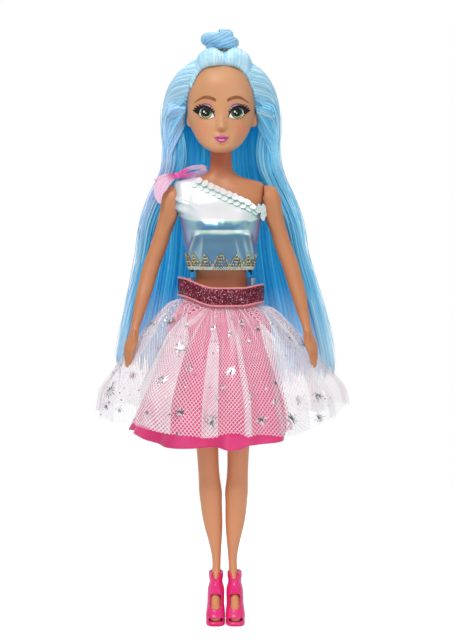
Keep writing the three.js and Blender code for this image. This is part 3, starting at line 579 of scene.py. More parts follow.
def chiffon_cloth():
    # Sheer pink chiffon: see-through where it is one layer, brighter where it bunches.
    made, tree, shader = material("sheer_chiffon", Roughness=0.5, Sheen_Weight=0.5)
    spot = node(tree, "TexCoord").outputs["Object"]
    # Hot pink where it is drawn into the knot, pale at its ends
    at_knot = tint_ball(tree, (-20.5, -3, 226), (11, 10, 5.5))
    tone = node(tree, "ValToRGB", {0: at_knot}, ((0.02, "#FFD2EA"), (0.3, "#FBA0D2"), (0.7, "#F45FB0")))
    cloud = node(tree, "TexNoise", {"Vector": spot, "Scale": 260})
    cover = node(tree, "MapRange", {"Value": cloud, "From Min": 0.3, "From Max": 0.7, "To Min": 0.46, "To Max": 0.62})
    bunched = node(tree, "Math", {0: at_knot, 1: 1.2}, operation="MULTIPLY")
    # Several layers lie on each other over the arm
    outward = node(tree, "SeparateXYZ", {0: spot}).outputs["X"]
    layers = node(tree, "MapRange", {
        "Value": outward, "From Min": -0.027, "From Max": -0.0235, "To Min": 0.74, "To Max": 0.0})
    for more in (bunched, layers):
        cover = node(tree, "Math", {0: cover, 1: more}, operation="MAXIMUM")
    tree.links.new(cover.outputs[0], shader.inputs["Alpha"])
    crinkle = node(tree, "TexNoise", {"Vector": spot, "Scale": 2200})
    apply_finish(tree, shader, tone.outputs[0], crinkle, 0.04, 0.5)
    return made


def silver_foil():
    # Hot-stamped silver foil: a mirror with small creases.
    made, tree, shader = material("stamped_silver_foil", Roughness=0.3, Metallic=0.6)
    spot = node(tree, "TexCoord").outputs["Object"]
    cloud = node(tree, "TexNoise", {"Vector": spot, "Scale": 520, "Roughness": 0.7})
    # Painted reflection: dark and white patches in the colour stand in for what the mirror shows
    tone = node(tree, "ValToRGB", {0: cloud}, ((0.4, "#54575D"), (0.5, "#A6AAB0"), (0.56, "#FFFFFF")))
    creases = node(tree, "TexNoise", {"Vector": spot, "Scale": 1100})
    apply_finish(tree, shader, tone.outputs[0], creases, 0.12, 0.8)
    return made


def dress(obj, made):
    obj.data.materials.clear()
    obj.data.materials.append(made)


def coat(obj, made, body, slot, replaces=()):
    """Gives a finished piece its material and body, and hides the parts it replaces. The slot is not used."""
    dress(obj, made)
    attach(obj, body)
    if replaces:
        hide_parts(*replaces)
    return obj


# ---- Camera, lights and floor

LOOK_AT = place(2.5, 0, 152.5)
CAMERA_DISTANCE = 0.8956
CAMERA_RISE = math.radians(3.5)


def look(obj, target):
    obj.rotation_euler = (target - obj.location).to_track_quat("-Z", "Y").to_euler()


camera = show("camera", bpy.data.cameras.new("camera"))
camera.data.lens = 100
camera.data.sensor_fit = "VERTICAL"
camera.data.sensor_height = 36
camera.location = LOOK_AT + Vector((0, -math.cos(CAMERA_RISE), math.sin(CAMERA_RISE))) * CAMERA_DISTANCE
look(camera, LOOK_AT)
bpy.context.scene.camera = camera
bpy.context.view_layer.update()
bpy.context.scene.view_settings.view_transform = "Standard"

for name, location, size, watts in (
    ("key", (-0.35, -0.95, 1.15), 0.5, 9.6),
    ("fill", (0.75, -1.2, 0.3), 0.9, 2.0),
    ("top", (0.1, 0.3, 1.3), 0.8, 5.0),
):
    lamp = show(name, bpy.data.lights.new(name, "AREA"))
    lamp.data.size = size
    lamp.data.energy = watts
    lamp.location = location
    look(lamp, Vector((0, 0, 0.17)))

world = bpy.data.worlds.new("studio")
bpy.context.scene.world = world
world.use_nodes = True
sky = world.node_tree
sky.nodes.clear()
seen = node(sky, "LightPath").outputs["Is Camera Ray"]
room = node(sky, "Background", {"Color": linear("#F2F4F8"), "Strength": 0.5})
backdrop = node(sky, "Background", {"Color": (1, 1, 1, 1), "Strength": 1.0})
choice = node(sky, "MixShader", {0: seen, 1: room.outputs[0], 2: backdrop.outputs[0]})
node(sky, "OutputWorld", {"Surface": choice.outputs[0]})

floor = start_shape(bpy.ops.mesh.primitive_plane_add, "floor", size=8)
paper, tree, shader = two_tone("white_paper_floor", 40, (0.3, "#E9E9EA"), (0.7, "#EFEFF0"), values={"Roughness": 0.9})
glow = node(tree, "Emission", {"Color": (1, 1, 1, 1), "Strength": 0.62})
lit = node(tree, "AddShader", {0: shader.outputs[0], 1: glow.outputs[0]})
# The paper fades into the white backdrop away from the doll
away = node(tree, "VectorMath", {0: node(tree, "TexCoord").outputs["Object"]}, operation="LENGTH").outputs["Value"]
fade = node(tree, "MapRange", {"Value": away, "From Min": 0.15, "From Max": 0.5}, interpolation_type="SMOOTHSTEP")
white = node(tree, "Emission", {"Color": (1, 1, 1, 1), "Strength": 1.0})
lit = node(tree, "MixShader", {0: fade.outputs["Result"], 1: lit.outputs[0], 2: white.outputs[0]})
seen = node(tree, "LightPath").outputs["Is Camera Ray"]
choice = node(tree, "MixShader", {0: seen, 1: shader.outputs[0], 2: lit.outputs[0]})
tree.links.new(choice.outputs[0], tree.nodes["Material Output"].inputs["Surface"])
dress(floor, paper)


# ---- Body

HIP_RISE = 147.0
TORSO_RISE = 93.0
SHOULDER_HALF = 21.3
CHEST_DEPTH = 17.0
TORSO_SQUARE = 2.3


def ring(x, z, half, front, back, square=2.0, sides=24, crowd=0.0):
    """A level ring. front and back are its ends along y; a crowd draws points forward."""
    points = []
    for i in range(sides):
        even = 2 * math.pi * i / sides
        turn = even - crowd * math.cos(even)
        c, s = math.cos(turn), math.sin(turn)
        middle = (front + back) / 2
        points.append(place(x + half * squared(c, square), middle + (back - front) / 2 * squared(s, square), z))
    return points


# Rise, half width, front, back, the ease of the top over it
TORSO_ROWS = [
    [-0.1, 0.3, 0.35, 0.45, 0], [-0.06, 0.62, 0.58, 0.68, 0], [0.0, 0.88, 0.66, 0.78, 0],
    [0.05, 0.91, 0.68, 0.8, 0], [0.12, 0.84, 0.66, 0.72, 0.3], [0.2, 0.69, 0.6, 0.58, 0.8],
    [0.29, 0.6, 0.56, 0.5, 0.85], [0.36, 0.63, 0.61, 0.5, 0.7], [0.42, 0.7, 0.7, 0.53, 0.52],
    [0.5, 0.79, 0.9, 0.56, 0.3], [0.57, 0.84, 0.97, 0.57, 0.24], [0.63, 0.89, 0.86, 0.55, 0.16],
    [0.69, 0.975, 0.66, 0.52, 0.1], [0.75, 1.01, 0.5, 0.46, 0.06], [0.795, 1.0, 0.38, 0.4, 0.06],
    [0.812, 0.84, 0.34, 0.37, 0.06], [0.83, 0.52, 0.31, 0.34, 0.06], [0.86, 0.3, 0.29, 0.31, 0.06],
    [0.92, 0.255, 0.27, 0.3, 0], [1.035, 0.255, 0.27, 0.3, 0],
]
BUST_RISE = HIP_RISE + 0.565 * TORSO_RISE


def bust(x, z):
    return 2.0 * hill(abs(x), z, 8.5, BUST_RISE, 6.5, 6.5)


def make_torso(skin):
    rings = []
    for rise, half, front, back, _ in refine(TORSO_ROWS, 48):
        z = HIP_RISE + rise * TORSO_RISE
        loop = ring(0, z, half * SHOULDER_HALF, -front * CHEST_DEPTH, back * CHEST_DEPTH, TORSO_SQUARE, 40)
        rings.append(loop)
    body = loft("torso_skin", rings, 1)
    for v in body.data.vertices:
        x, y, z = spot_of(v)
        if y < 0:
            push = bust(x, z)
            # Collar bones, and the hollow between them
            push += 0.35 * hill(abs(x), z, 8.5, 221.0 - abs(x) * 0.12, 6.5, 1.2)
            push -= 0.5 * hill(x, z, 0, 221.5, 2.2, 2.5)
            push -= 0.5 * hill(x, z, 0, 174.5, 1.0, 1.3)
            v.co.y -= push * MM
        else:
            v.co.y -= 0.5 * hill(x, z, 0, 190, 1.8, 26) * MM
    return coat(body, skin, "torso", "skin", ("torso_front", "torso_back"))


# Drop from the shoulder, outward, half width, half depth, forward
ARM_ROWS = [
    [0.9, 0.88, 0.34, 0.72, 0.915], [0.85, 0.84, 0.5, 0.9, 0.87], [0.79, 0.79, 0.5, 0.66, 0.79],
    [0.74, 0.76, 0.5, 0.51, 0.72], [0.68, 0.71, 0.64, 0.64, 0.6], [0.58, 0.64, 0.84, 0.82, 0.44],
    [0.49, 0.565, 0.94, 0.93, 0.27], [0.39, 0.48, 0.98, 0.98, 0.14], [0.28, 0.35, 1.0, 1.02, 0.04],
    [0.16, 0.245, 0.94, 1.11, 0], [0.06, 0.182, 0.9, 1.33, 0], [0.0, 0.162, 0.9, 1.42, 0],
    [-0.04, 0.14, 0.76, 1.2, 0], [-0.07, 0.11, 0.52, 0.66, 0], [-0.078, 0.1, 0.2, 0.3, 0],
]
ARM_LENGTH, ARM_SPREAD, ARM_FORWARD, ARM_HALF = 85.0, 27.4, 16.0, 4.5
ARM_START = SHOULDER_HALF + 0.3
SHOULDER_RISE = 213.5
# Fingers: where they leave the palm along y, their length, half width and bend inwards
FINGERS = [(-3.1, 8.6, 0.95, 0.5), (-1.1, 10.2, 1.0, 0.4), (0.95, 9.7, 0.98, 0.5), (2.85, 8.0, 0.88, 0.9)]


def finger(name, start, direction, length, half, curl):
    rings = []
    for share, size in ((-0.25, 0.9), (0.0, 1.0), (0.3, 0.95), (0.42, 1.02), (0.7, 0.88), (0.92, 0.7), (1.0, 0.32)):
        middle = start + direction * (length * share * MM) + curl * (share ** 2 * MM)
        side = direction.cross(Vector((0, 0, 1))).normalized()
        up = side.cross(direction).normalized()
        rings.append([
            middle + (side * math.cos(a) + up * math.sin(a)) * (half * size * MM)
            for a in np.linspace(0, 2 * math.pi, 8, endpoint=False)
        ])
    return loft(name, rings, 1)


def make_arm(side, word, skin):
    rings = []
    for drop, outward, half, depth, forward in refine(ARM_ROWS, 38):
        x = side * (ARM_START + outward * ARM_SPREAD)
        loop = ring(x, SHOULDER_RISE - drop * ARM_LENGTH, half * ARM_HALF,
                    -forward * ARM_FORWARD - depth * ARM_HALF, -forward * ARM_FORWARD + depth * ARM_HALF, 2.0, 24)
        # The joint's face is flat; the hand is turned half way to the front
        wall = (SHOULDER_HALF + 0.12) * MM
        turn = Matrix.Rotation(side * -0.8 * smooth(0.72, 0.83, drop), 3, "Z")
        middle = place(x, -forward * ARM_FORWARD, SHOULDER_RISE - drop * ARM_LENGTH)
        for i, point in enumerate(loop):
            if drop < 0.2 and point.x * side < x * side * MM:
                flat = 0.97 if abs(point.y - middle.y) < depth * 4.3 * MM else 0.6
                point.x = mix(point.x, side * wall, (1 - smooth(0.08, 0.2, drop)) * flat)
            loop[i] = middle + turn @ (point - middle)
        rings.append(loop)
    parts = [loft("arm", rings, 1)]
    wrist = place(
        side * (ARM_START + 0.87 * ARM_SPREAD), -0.9 * ARM_FORWARD, SHOULDER_RISE - 0.885 * ARM_LENGTH)
    direction = Vector((side * 0.2, -0.16, -1)).normalized()
    across, inward = Vector((side * 0.72, 0.7, 0)), Vector((-side * 0.7, 0.72, 0))
    for spot, length, half, bend in FINGERS:
        start = wrist + across * (spot * 0.9 * MM) + Vector((0, 0, 1.0 * MM))
        heading = (direction - across * (spot * 0.035)).normalized()
        parts.append(finger("finger", start, heading, length, half, inward * bend * 2))
    thumb_from = wrist + across * (-2.7 * MM) + inward * (0.6 * MM) + Vector((0, 0, 8.0 * MM))
    heading = (direction - across * 0.16 + inward * 0.1).normalized()
    parts.append(finger("thumb", thumb_from, heading, 8.0, 1.05, inward * 1.0 + across * 0.8))
    arm = join(f"arm_{word}_skin", parts)
    modify(arm, "REMESH", mode="VOXEL", voxel_size=0.36 * MM)
    modify(arm, "SMOOTH", factor=0.5, iterations=2)
    shade(arm)
    return coat(arm, skin, f"arm_{word}", "skin", (f"arm_{word}",))


# Rise, middle, half width, front, back
LEG_ROWS = [
    [0.014, 0.45, 0.38, -1.34, -0.5], [0.02, 0.45, 0.43, -1.42, -0.42], [0.031, 0.45, 0.45, -1.4, -0.3],
    [0.045, 0.45, 0.46, -1.24, -0.12],
    [0.065, 0.445, 0.44, -0.96, 0.2], [0.085, 0.44, 0.4, -0.7, 0.54], [0.105, 0.43, 0.38, -0.45, 0.84],
    [0.126, 0.42, 0.35, -0.22, 0.93], [0.15, 0.4, 0.3, -0.02, 0.88], [0.177, 0.375, 0.26, 0.14, 0.77],
    [0.218, 0.37, 0.29, 0.09, 0.7], [0.272, 0.42, 0.43, -0.1, 0.75], [0.32, 0.48, 0.57, -0.22, 0.79],
    [0.36, 0.53, 0.64, -0.3, 0.78], [0.41, 0.57, 0.68, -0.4, 0.66], [0.45, 0.59, 0.72, -0.5, 0.56],
    [0.51, 0.65, 0.65, -0.52, 0.54], [0.61, 0.705, 0.7, -0.62, 0.7], [0.71, 0.78, 0.84, -0.72, 0.84],
    [0.82, 0.88, 1.0, -0.82, 0.96], [0.92, 1.02, 0.99, -0.9, 1.06], [1.0, 1.0, 0.96, -0.9, 1.06],
    [1.05, 0.98, 0.86, -0.8, 0.98], [1.075, 0.97, 0.6, -0.5, 0.7],
]
LEG_MIDDLE, LEG_LEAN, THIGH_HALF, LEG_DEPTH = 11.2, 2.2, 8.2, 11.5


def leg_rings(side, grow, rows, sides=20):
    rings = []
    for rise, middle, half, front, back in rows:
        rings.append(ring(
            side * middle * LEG_MIDDLE + LEG_LEAN * (1 - rise), rise * HIP_RISE - (grow if rise < 0.03 else 0),
            half * THIGH_HALF + grow, front * LEG_DEPTH - grow, back * LEG_DEPTH + grow, 2.0, sides))
    return rings


def make_leg(side, word, skin):
    leg = loft(f"leg_{word}_skin", leg_rings(side, 0, refine(LEG_ROWS, 52)), 1)
    for v in leg.data.vertices:
        x, y, z = spot_of(v)
        knee = side * 0.59 * LEG_MIDDLE + LEG_LEAN * 0.55
        if y < 0:
            v.co.y -= (0.55 * hill(x, z, knee, 67, 3.0, 3.6) - 0.25 * hill(x, z, knee, 61.5, 2.6, 2.0)) * MM
            # The dip between the toes
            toe = (x - side * 0.45 * LEG_MIDDLE - LEG_LEAN) / 1.3
            if z < 6:
                v.co.y += 0.25 * (0.5 + 0.5 * math.cos(toe * 2 * math.pi)) * MM
    return coat(leg, skin, f"leg_{word}", "skin", (f"leg_{word}",))


skin_finish = limb_plastic()
make_torso(skin_finish)
for side, word in ((1, "left"), (-1, "right")):
    make_arm(side, word, skin_finish)
    make_leg(side, word, skin_finish)


# ---- Head and face

CHIN_RISE, HEAD_HEIGHT, HEAD_HALF, HEAD_FRONT, HEAD_BACK = 236.0, 47.0, 17.3, 18.0, 20.0
HEAD_ROWS = [
    [0.0, 0.16, -0.92, -0.42], [0.03, 0.36, -0.99, -0.16], [0.08, 0.55, -1.02, 0.15], [0.15, 0.7, -1.02, 0.4],
    [0.24, 0.83, -1.0, 0.65], [0.34, 0.94, -0.97, 0.85], [0.45, 0.99, -0.95, 0.95], [0.56, 1.0, -0.98, 1.0],
    [0.67, 0.99, -1.01, 1.0], [0.77, 0.93, -0.97, 0.93], [0.87, 0.79, -0.84, 0.78], [0.95, 0.54, -0.58, 0.54],
    [1.0, 0.22, -0.26, 0.25],
]
FACE_MIDDLE = 0.3
EYE_SPREAD, EYE_RISE = 7.45, 19.7
# Rise above the chin, how far the nose stands out, its half width
NOSE_ROWS = [
    [9.6, 0.0, 2.4], [10.5, 0.0, 2.3], [11.2, 1.1, 2.3], [12.0, 2.5, 2.25], [12.9, 3.1, 2.1], [14.0, 2.6, 2.0],
    [15.6, 1.5, 2.1], [17.6, 0.9, 2.2], [20.0, 0.65, 2.3], [22.5, 0.45, 2.5], [25.5, 0.15, 2.8], [28.0, 0.0, 3.0],
]
nose_at = reader(NOSE_ROWS)


def face_relief(x, rise):
    """How far the face stands out from the plain head, in millimetres."""
    side = abs(x)
    reach, half = nose_at(min(max(rise, 9.6), 28.0))
    out = reach * math.exp(-((x / half) ** 2))
    out += 0.55 * hill(side, rise, 1.75, 11.9, 0.85, 0.95)
    # Lips, the line between them and the hollows round them
    wide = max(0.0, 1 - (x / 4.1) ** 2)
    out += 1.05 * wide * math.exp(-(((rise - 7.95 + 0.25 * hill(x, 0, 0, 0, 0.8, 1)) / 0.95) ** 2))
    out += 1.3 * max(0.0, 1 - (x / 3.6) ** 2) * math.exp(-(((rise - 5.9) / 1.15) ** 2))
    out -= 0.75 * max(0.0, 1 - (x / 3.9) ** 2) * math.exp(-(((rise - 7.02) / 0.38) ** 2))
    out -= 0.45 * hill(x, rise, 0, 3.9, 2.6, 1.0)
    out -= 0.25 * hill(x, rise, 0, 9.9, 0.9, 1.1)
    out -= 0.35 * hill(side, rise, 4.3, 7.1, 0.9, 1.2)
    # Chin, cheeks, eye sockets with a low eyeball in each, brow
    out += 0.35 * hill(x, rise, 0, 1.8, 3.2, 2.0)
    out += 0.55 * hill(side, rise, 9.6, 12.6, 4.6, 4.2)
    out -= 1.15 * hill(side, rise, EYE_SPREAD, EYE_RISE + 0.5, 5.2, 4.4)
    out += 0.8 * hill(side, rise, EYE_SPREAD, EYE_RISE, 3.4, 2.8)
    out += 0.45 * hill(side, rise, 7.5, 27.0, 6.0, 2.2)
    return out


def make_head():
    rings = []
    for rise, half, front, back in refine(HEAD_ROWS, 27):
        front_mm = (HEAD_FRONT if front < 0 else HEAD_BACK) * front
        back_mm = (HEAD_BACK if back > 0 else HEAD_FRONT) * back
        rings.append(ring(0, CHIN_RISE + rise * HEAD_HEIGHT, half * HEAD_HALF, front_mm, back_mm, 2.15, 48, 0.5))
    head = loft("head_skin", rings, 2)
    for v in head.data.vertices:
        x, y, z = spot_of(v)
        if y < 0:
            v.co.y -= face_relief(x - FACE_MIDDLE, z - CHIN_RISE) * smooth(0, 6, -y) * MM
    return head


def make_ear(side):
    """A flattened ball with its rim raised round a hollow."""
    ear = start_shape(bpy.ops.mesh.primitive_uv_sphere_add, segments=24, ring_count=16, radius=1)
    for v in ear.data.vertices:
        x, y, z = v.co
        depth = 0.55 * math.exp(-((y + 0.15) / 0.5) ** 2 - ((z - 0.12) / 0.55) ** 2) if x * side > 0 else 0
        narrow = 1 - 0.28 * smooth(0.0, 1.0, -z)
        v.co = place(
            side * (16.5 if side > 0 else 15.6) + (x - side * depth) * 2.4 + side * 0.35 * z,
            1.2 + y * 2.6 * narrow + 0.5 * z, CHIN_RISE + 17.4 + z * 4.1)
    return shade(ear)


head = make_head()
for side in (1, -1):
    cut(head, make_ear(side), "UNION")
shade(head)
head_tree = tree_of(head)

shadow_tone, blush_tone = "#C4708E", "#E88A70"
eye_tints = [
    ((FACE_MIDDLE + s * EYE_SPREAD + s * 0.4, -17.5, CHIN_RISE + EYE_RISE + 2.5), (5.6, 9, 4.2), 0.55, shadow_tone)
    for s in (1, -1)
]
cheek_tints = [
    ((FACE_MIDDLE + s * 10.5, -14.5, CHIN_RISE + 11.0), (7.5, 9, 6.8), 0.5, blush_tone) for s in (1, -1)
]
# Painted light and shade: a highlight on the tip of the nose, and shade under the nose, under the lower lip and under
# the chin
painted_face_light_and_shade = [
    ((FACE_MIDDLE, -20.5, CHIN_RISE + 13.4), (2.2, 6, 2.6), 0.3, "#F6C7A0"),
    ((FACE_MIDDLE, -19.5, CHIN_RISE + 10.4), (3.4, 6, 1.5), 0.5, "#B5653F"),
    ((FACE_MIDDLE, -18.5, CHIN_RISE + 3.6), (3.2, 5, 1.5), 0.35, "#BC6C46"),
    ((FACE_MIDDLE, -16, CHIN_RISE - 1.0), (13, 14, 7), 0.55, "#B96A44"),
]
coat(head, face_vinyl(eye_tints + cheek_tints + painted_face_light_and_shade), "head", "face", ("head",))


def on_face(x, rise, lift):
    """A point on the face, lifted off it, from its place in front view. Millimetres."""
    start = place(FACE_MIDDLE + x, -60, CHIN_RISE + rise)
    hit, normal, _, _ = head_tree.ray_cast(start, Vector((0, 1, 0)))
    return hit + normal * (lift * MM)


def strip(name, upper, lower, lift, columns=28, rows=4):
    """A painted shape between two lines across the face."""
    top = curve_through([(x, 0, r) for x, r in upper], columns + 1)
    low = curve_through([(x, 0, r) for x, r in lower], columns + 1)

    def point_at(u, v):
        i = round(u * columns)
        spot = low[i].lerp(top[i], v)
        return on_face(spot.x, spot.z, lift)

    return thicken(cloth_grid(name, columns, rows, point_at), 0.05)


def disc(name, x, rise, radius_x, radius_z, lift, rings=4, sides=28):
    """A painted round spot."""
    spot = start_shape(bpy.ops.mesh.primitive_circle_add, name, vertices=sides, radius=1, fill_type="NGON")
    bpy.ops.object.mode_set(mode="EDIT")
    bpy.ops.mesh.select_all(action="SELECT")
    for _ in range(1, rings):
        bpy.ops.mesh.inset(thickness=1 / rings)
    bpy.ops.object.mode_set(mode="OBJECT")
    for v in spot.data.vertices:
        v.co = on_face(x + v.co.x * radius_x, rise + v.co.y * radius_z, lift)
    face_outwards(spot)
    if spot.data.polygons[0].normal.y > 0:
        edit_all(spot, (bpy.ops.mesh.flip_normals, {}))
    return shade(thicken(spot, 0.05))


# Eye shapes as (outward, up) from the middle of the iris
LID_LINE = [(-3.42, -1.93), (-2.95, -0.85), (-2.4, 0.0), (-1.7, 1.0), (-0.96, 1.65), (0.0, 2.1), (0.88, 2.2),
            (1.7, 1.85), (2.4, 1.2), (2.9, 0.35), (3.05, -0.44)]
LOWER_LINE = [(-3.42, -1.93), (-2.5, -2.2), (-1.6, -2.45), (-0.9, -2.55), (0.0, -2.6), (0.7, -2.5), (1.3, -2.3),
              (1.9, -1.95), (2.5, -1.4), (2.85, -0.95), (3.05, -0.44)]
LINER_TOP = [(-3.8, -2.1), (-3.2, -0.5), (-2.7, 0.5), (-2.05, 1.5), (-1.15, 2.35), (0.0, 2.8), (1.0, 2.95),
             (2.1, 2.7), (3.1, 2.1), (4.0, 1.4), (5.5, 1.3)]
LINER_LOW = [(-3.42, -1.98), (-2.9, -0.9), (-2.35, 0.0), (-1.65, 0.95), (-0.9, 1.55), (0.0, 1.95), (0.88, 2.05),
             (1.7, 1.7), (2.5, 1.0), (3.1, -0.75), (5.5, 1.1)]
LASHES = [((3.0, 1.7), (4.0, 0.7), (5.2, 2.2)), ((2.2, 2.2), (3.2, 1.4), (4.5, 3.1)),
          ((1.5, 2.5), (2.4, 2.1), (3.2, 3.7)), ((0.8, 2.6), (1.4, 2.5), (1.7, 3.6)),
          ((0.0, 2.5), (0.5, 2.6), (0.5, 3.3)), ((-2.6, 0.6), (-2.2, 1.1), (-3.1, 1.8)),
          ((-3.1, -0.4), (-2.7, 0.2), (-3.7, 0.9)), ((-1.9, 1.5), (-1.5, 1.8), (-2.1, 2.5))]
LOWER_LASHES = [((1.2, -2.5), (1.4, -2.4), (1.75, -3.0)), ((2.0, -2.0), (2.2, -1.8), (2.7, -2.5)),
                ((2.7, -1.3), (2.85, -1.05), (3.5, -1.6))]
CREASE_TOP = [(-2.5, 2.2), (-1.6, 3.05), (-0.5, 3.55), (0.8, 3.65), (2.0, 3.3), (3.1, 2.6)]
CREASE_LOW = [(-2.55, 2.0), (-1.6, 2.65), (-0.5, 3.15), (0.8, 3.25), (2.0, 2.95), (3.1, 2.45)]
SHIMMER_TOP = [(-2.6, 1.75), (-1.6, 2.65), (-0.5, 3.15), (0.8, 3.25), (2.0, 2.95), (3.0, 2.45)]
SHIMMER_LOW = [(-2.6, 0.45), (-1.6, 1.6), (-0.5, 2.3), (0.8, 2.6), (2.0, 2.4), (3.0, 1.8)]
BROW_TOP = [(-3.85, 5.4), (-2.7, 6.1), (-1.3, 6.6), (0.0, 6.75), (1.5, 6.5), (3.2, 5.6), (5.25, 3.95)]
BROW_LOW = [(-3.8, 4.15), (-2.7, 4.8), (-1.3, 5.3), (0.0, 5.5), (1.5, 5.4), (3.2, 4.8), (5.2, 3.85)]
LOWER_RIM = [(x, r - 0.28) for x, r in LOWER_LINE]

paints = {}
for name, dark, light, gloss in (
    ("black", "#0D0A0D", "#171216", 0.5), ("eye_white", "#EFEAF0", "#FBF8FB", 0.2),
    ("highlight", "#FFFFFF", "#FBFFFC", 0.2), ("brow", "#8E5029", "#A2623A", 0.4),
    ("mauve", "#7C3F5E", "#8F4E6C", 0.4), ("shimmer", "#C287A6", "#DCAABF", 0.3),
    ("lower_lid", "#A9644F", "#B8735E", 0.4), ("iris_ring", "#1E231D", "#2A3028", 0.2),
    ("iris_grey", "#7E857C", "#9AA094", 0.2), ("iris_dark", "#10150F", "#1B2318", 0.5),
    ("iris_green", "#4F7A26", "#6B9636", 0.18), ("iris_lime", "#A9C765", "#C3D98A", 0.18),
    ("lip", "#BC3F80", "#C84C8C", 0.3), ("upper_lip", "#CC5F9A", "#D873A8", 0.3),
    ("lip_line", "#7A2152", "#8A2A5C", 0.35), ("lip_shine", "#E98ABB", "#F09CC8", 0.25),
):
    paints[name] = face_paint(f"{name}_enamel", dark, light, gloss)

EYE_SCALE = 1.2


def eye_line(side, line):
    points = [(side * (EYE_SPREAD + u * EYE_SCALE), EYE_RISE + v * EYE_SCALE) for u, v in line]
    return points if side > 0 else points[::-1]


def make_eye(side, word):
    middle = side * EYE_SPREAD
    for name, upper, lower, lift, paint, columns, rows in (
        ("eye_white", LID_LINE, LOWER_LINE, 0.1, "eye_white", 32, 8),
        ("eyeshadow_shimmer", SHIMMER_TOP, SHIMMER_LOW, 0.1, "shimmer", 28, 4),
        ("eyeshadow_crease", CREASE_TOP, CREASE_LOW, 0.13, "mauve", 28, 4),
        ("lower_lid", LOWER_LINE, LOWER_RIM, 0.1, "lower_lid", 28, 1),
        ("brow", BROW_TOP, BROW_LOW, 0.1, "brow", 28, 4),
    ):
        piece = strip(f"{name}_{word}", eye_line(side, upper), eye_line(side, lower), lift, columns, rows)
        coat(piece, paints[paint], "head", "face")
    for name, aside, drop, radius, lift in (
        ("iris_ring", 0.0, 0.12, 2.86, 0.15), ("iris_grey", 0.0, 0.12, 2.6, 0.19),
        ("iris_green", 0.0, 0.16, 2.46, 0.23), ("iris_dark", -0.1, -0.12, 2.2, 0.31),
    ):
        spot = disc(f"{name}_{word}", middle + aside, EYE_RISE - drop, radius, radius * 1.03, lift)
        coat(spot, paints[name], "head", "face")
    # The lime crescent at the foot of the iris, and two highlights up and to the doll's right
    arc = [math.radians(a) for a in range(-125, -14, 10)]
    outer = [(middle + 2.42 * math.cos(a) + 0.04, EYE_RISE - 0.15 + 2.42 * math.sin(a)) for a in arc]
    inner = [(middle + 2.12 * math.cos(a), EYE_RISE - 0.1 + 2.05 * math.sin(a)) for a in arc]
    coat(strip(f"iris_lime_{word}", inner, outer, 0.27, 16, 2), paints["iris_lime"], "head", "face")
    coat(disc(f"pupil_{word}", middle - 0.05, EYE_RISE + 0.05, 1.2, 1.25, 0.35), paints["black"], "head", "face")
    for name, x, r, size in (("highlight_large", -1.0, 0.3, 0.45), ("highlight_small", -0.15, -0.4, 0.26)):
        spot = disc(f"{name}_{word}", middle + x, EYE_RISE + r, size, size, 0.4, 2, 16)
        coat(spot, paints["highlight"], "head", "face")
    lashes = [strip("lid_liner", eye_line(side, LINER_TOP), eye_line(side, LINER_LOW), 0.43, 40, 3)]
    for left, right, tip in LASHES + LOWER_LASHES:
        near = (right[0] * 0.4 + tip[0] * 0.6, right[1] * 0.4 + tip[1] * 0.6)
        far = (left[0] * 0.4 + tip[0] * 0.6, left[1] * 0.4 + tip[1] * 0.6)
        lashes.append(strip("lash", eye_line(side, [left, far, tip]), eye_line(side, [right, near, tip]), 0.4, 6, 1))
    coat(join(f"lashes_{word}", lashes), paints["black"], "head", "face")


for side, word in ((1, "left"), (-1, "right")):
    make_eye(side, word)

LIP_TOP = [(-3.6, 7.3), (-2.4, 7.8), (-1.0, 8.25), (-0.35, 8.1), (0.35, 8.1), (1.0, 8.25), (2.4, 7.8), (3.6, 7.3)]
LIP_LINE = [(-3.6, 7.2), (-2.4, 7.0), (-1.0, 7.05), (-0.35, 6.92), (0.35, 6.92), (1.0, 7.05), (2.4, 7.0), (3.6, 7.2)]
LIP_LOW = [(-3.4, 7.1), (-2.6, 6.05), (-1.5, 5.2), (-0.5, 4.88), (0.5, 4.88), (1.5, 5.2), (2.6, 6.05), (3.4, 7.1)]
LIP_SHINE_TOP = [(-1.5, 6.2), (-0.7, 6.35), (0.7, 6.35), (1.5, 6.2)]
LIP_SHINE_LOW = [(-1.4, 5.85), (-0.7, 5.6), (0.7, 5.6), (1.4, 5.85)]
for name, upper, lower, lift, paint, columns, rows in (
    ("upper_lip", LIP_TOP, LIP_LINE, 0.08, "upper_lip", 32, 4),
    ("lower_lip", LIP_LINE, LIP_LOW, 0.08, "lip", 32, 6),
    ("lip_line", [(x, r + 0.12) for x, r in LIP_LINE], [(x, r - 0.12) for x, r in LIP_LINE], 0.12, "lip_line", 32, 1),
    ("lip_shine", LIP_SHINE_TOP, LIP_SHINE_LOW, 0.12, "lip_shine", 12, 2),
):
    coat(strip(name, upper, lower, lift, columns, rows), paints[paint], "head", "face")


# ---- Hair

rng = random.Random(7)
# Height, half width, middle and depth of the hair all round; below 242 it falls free
HAIR_ROWS = [
    [287.0, 2.4, 2.0, 2.4], [285.4, 6.0, 1.9, 6.2], [282.8, 11.6, 1.6, 12.0], [279.0, 17.6, 2.2, 17.2],
    [273.5, 22.6, 3.6, 20.6], [266.0, 26.2, 5.6, 21.0], [257.5, 28.2, 8.0, 18.9], [249.5, 28.4, 9.4, 15.4],
    [241.0, 27.6, 9.0, 13.4], [232.0, 27.6, 8.6, 13.2], [224.0, 29.8, 11.4, 11.0], [214.5, 34.6, 13.3, 8.4],
    [201.0, 39.4, 13.8, 7.4], [186.0, 42.2, 15.3, 9.4], [171.5, 46.4, 16.8, 14.3], [159.0, 50.4, 16.8, 20.4],
    [145.0, 54.0, 15.8, 27.0], [131.5, 56.6, 15.8, 31.6], [118.0, 57.4, 16.8, 33.6],
]
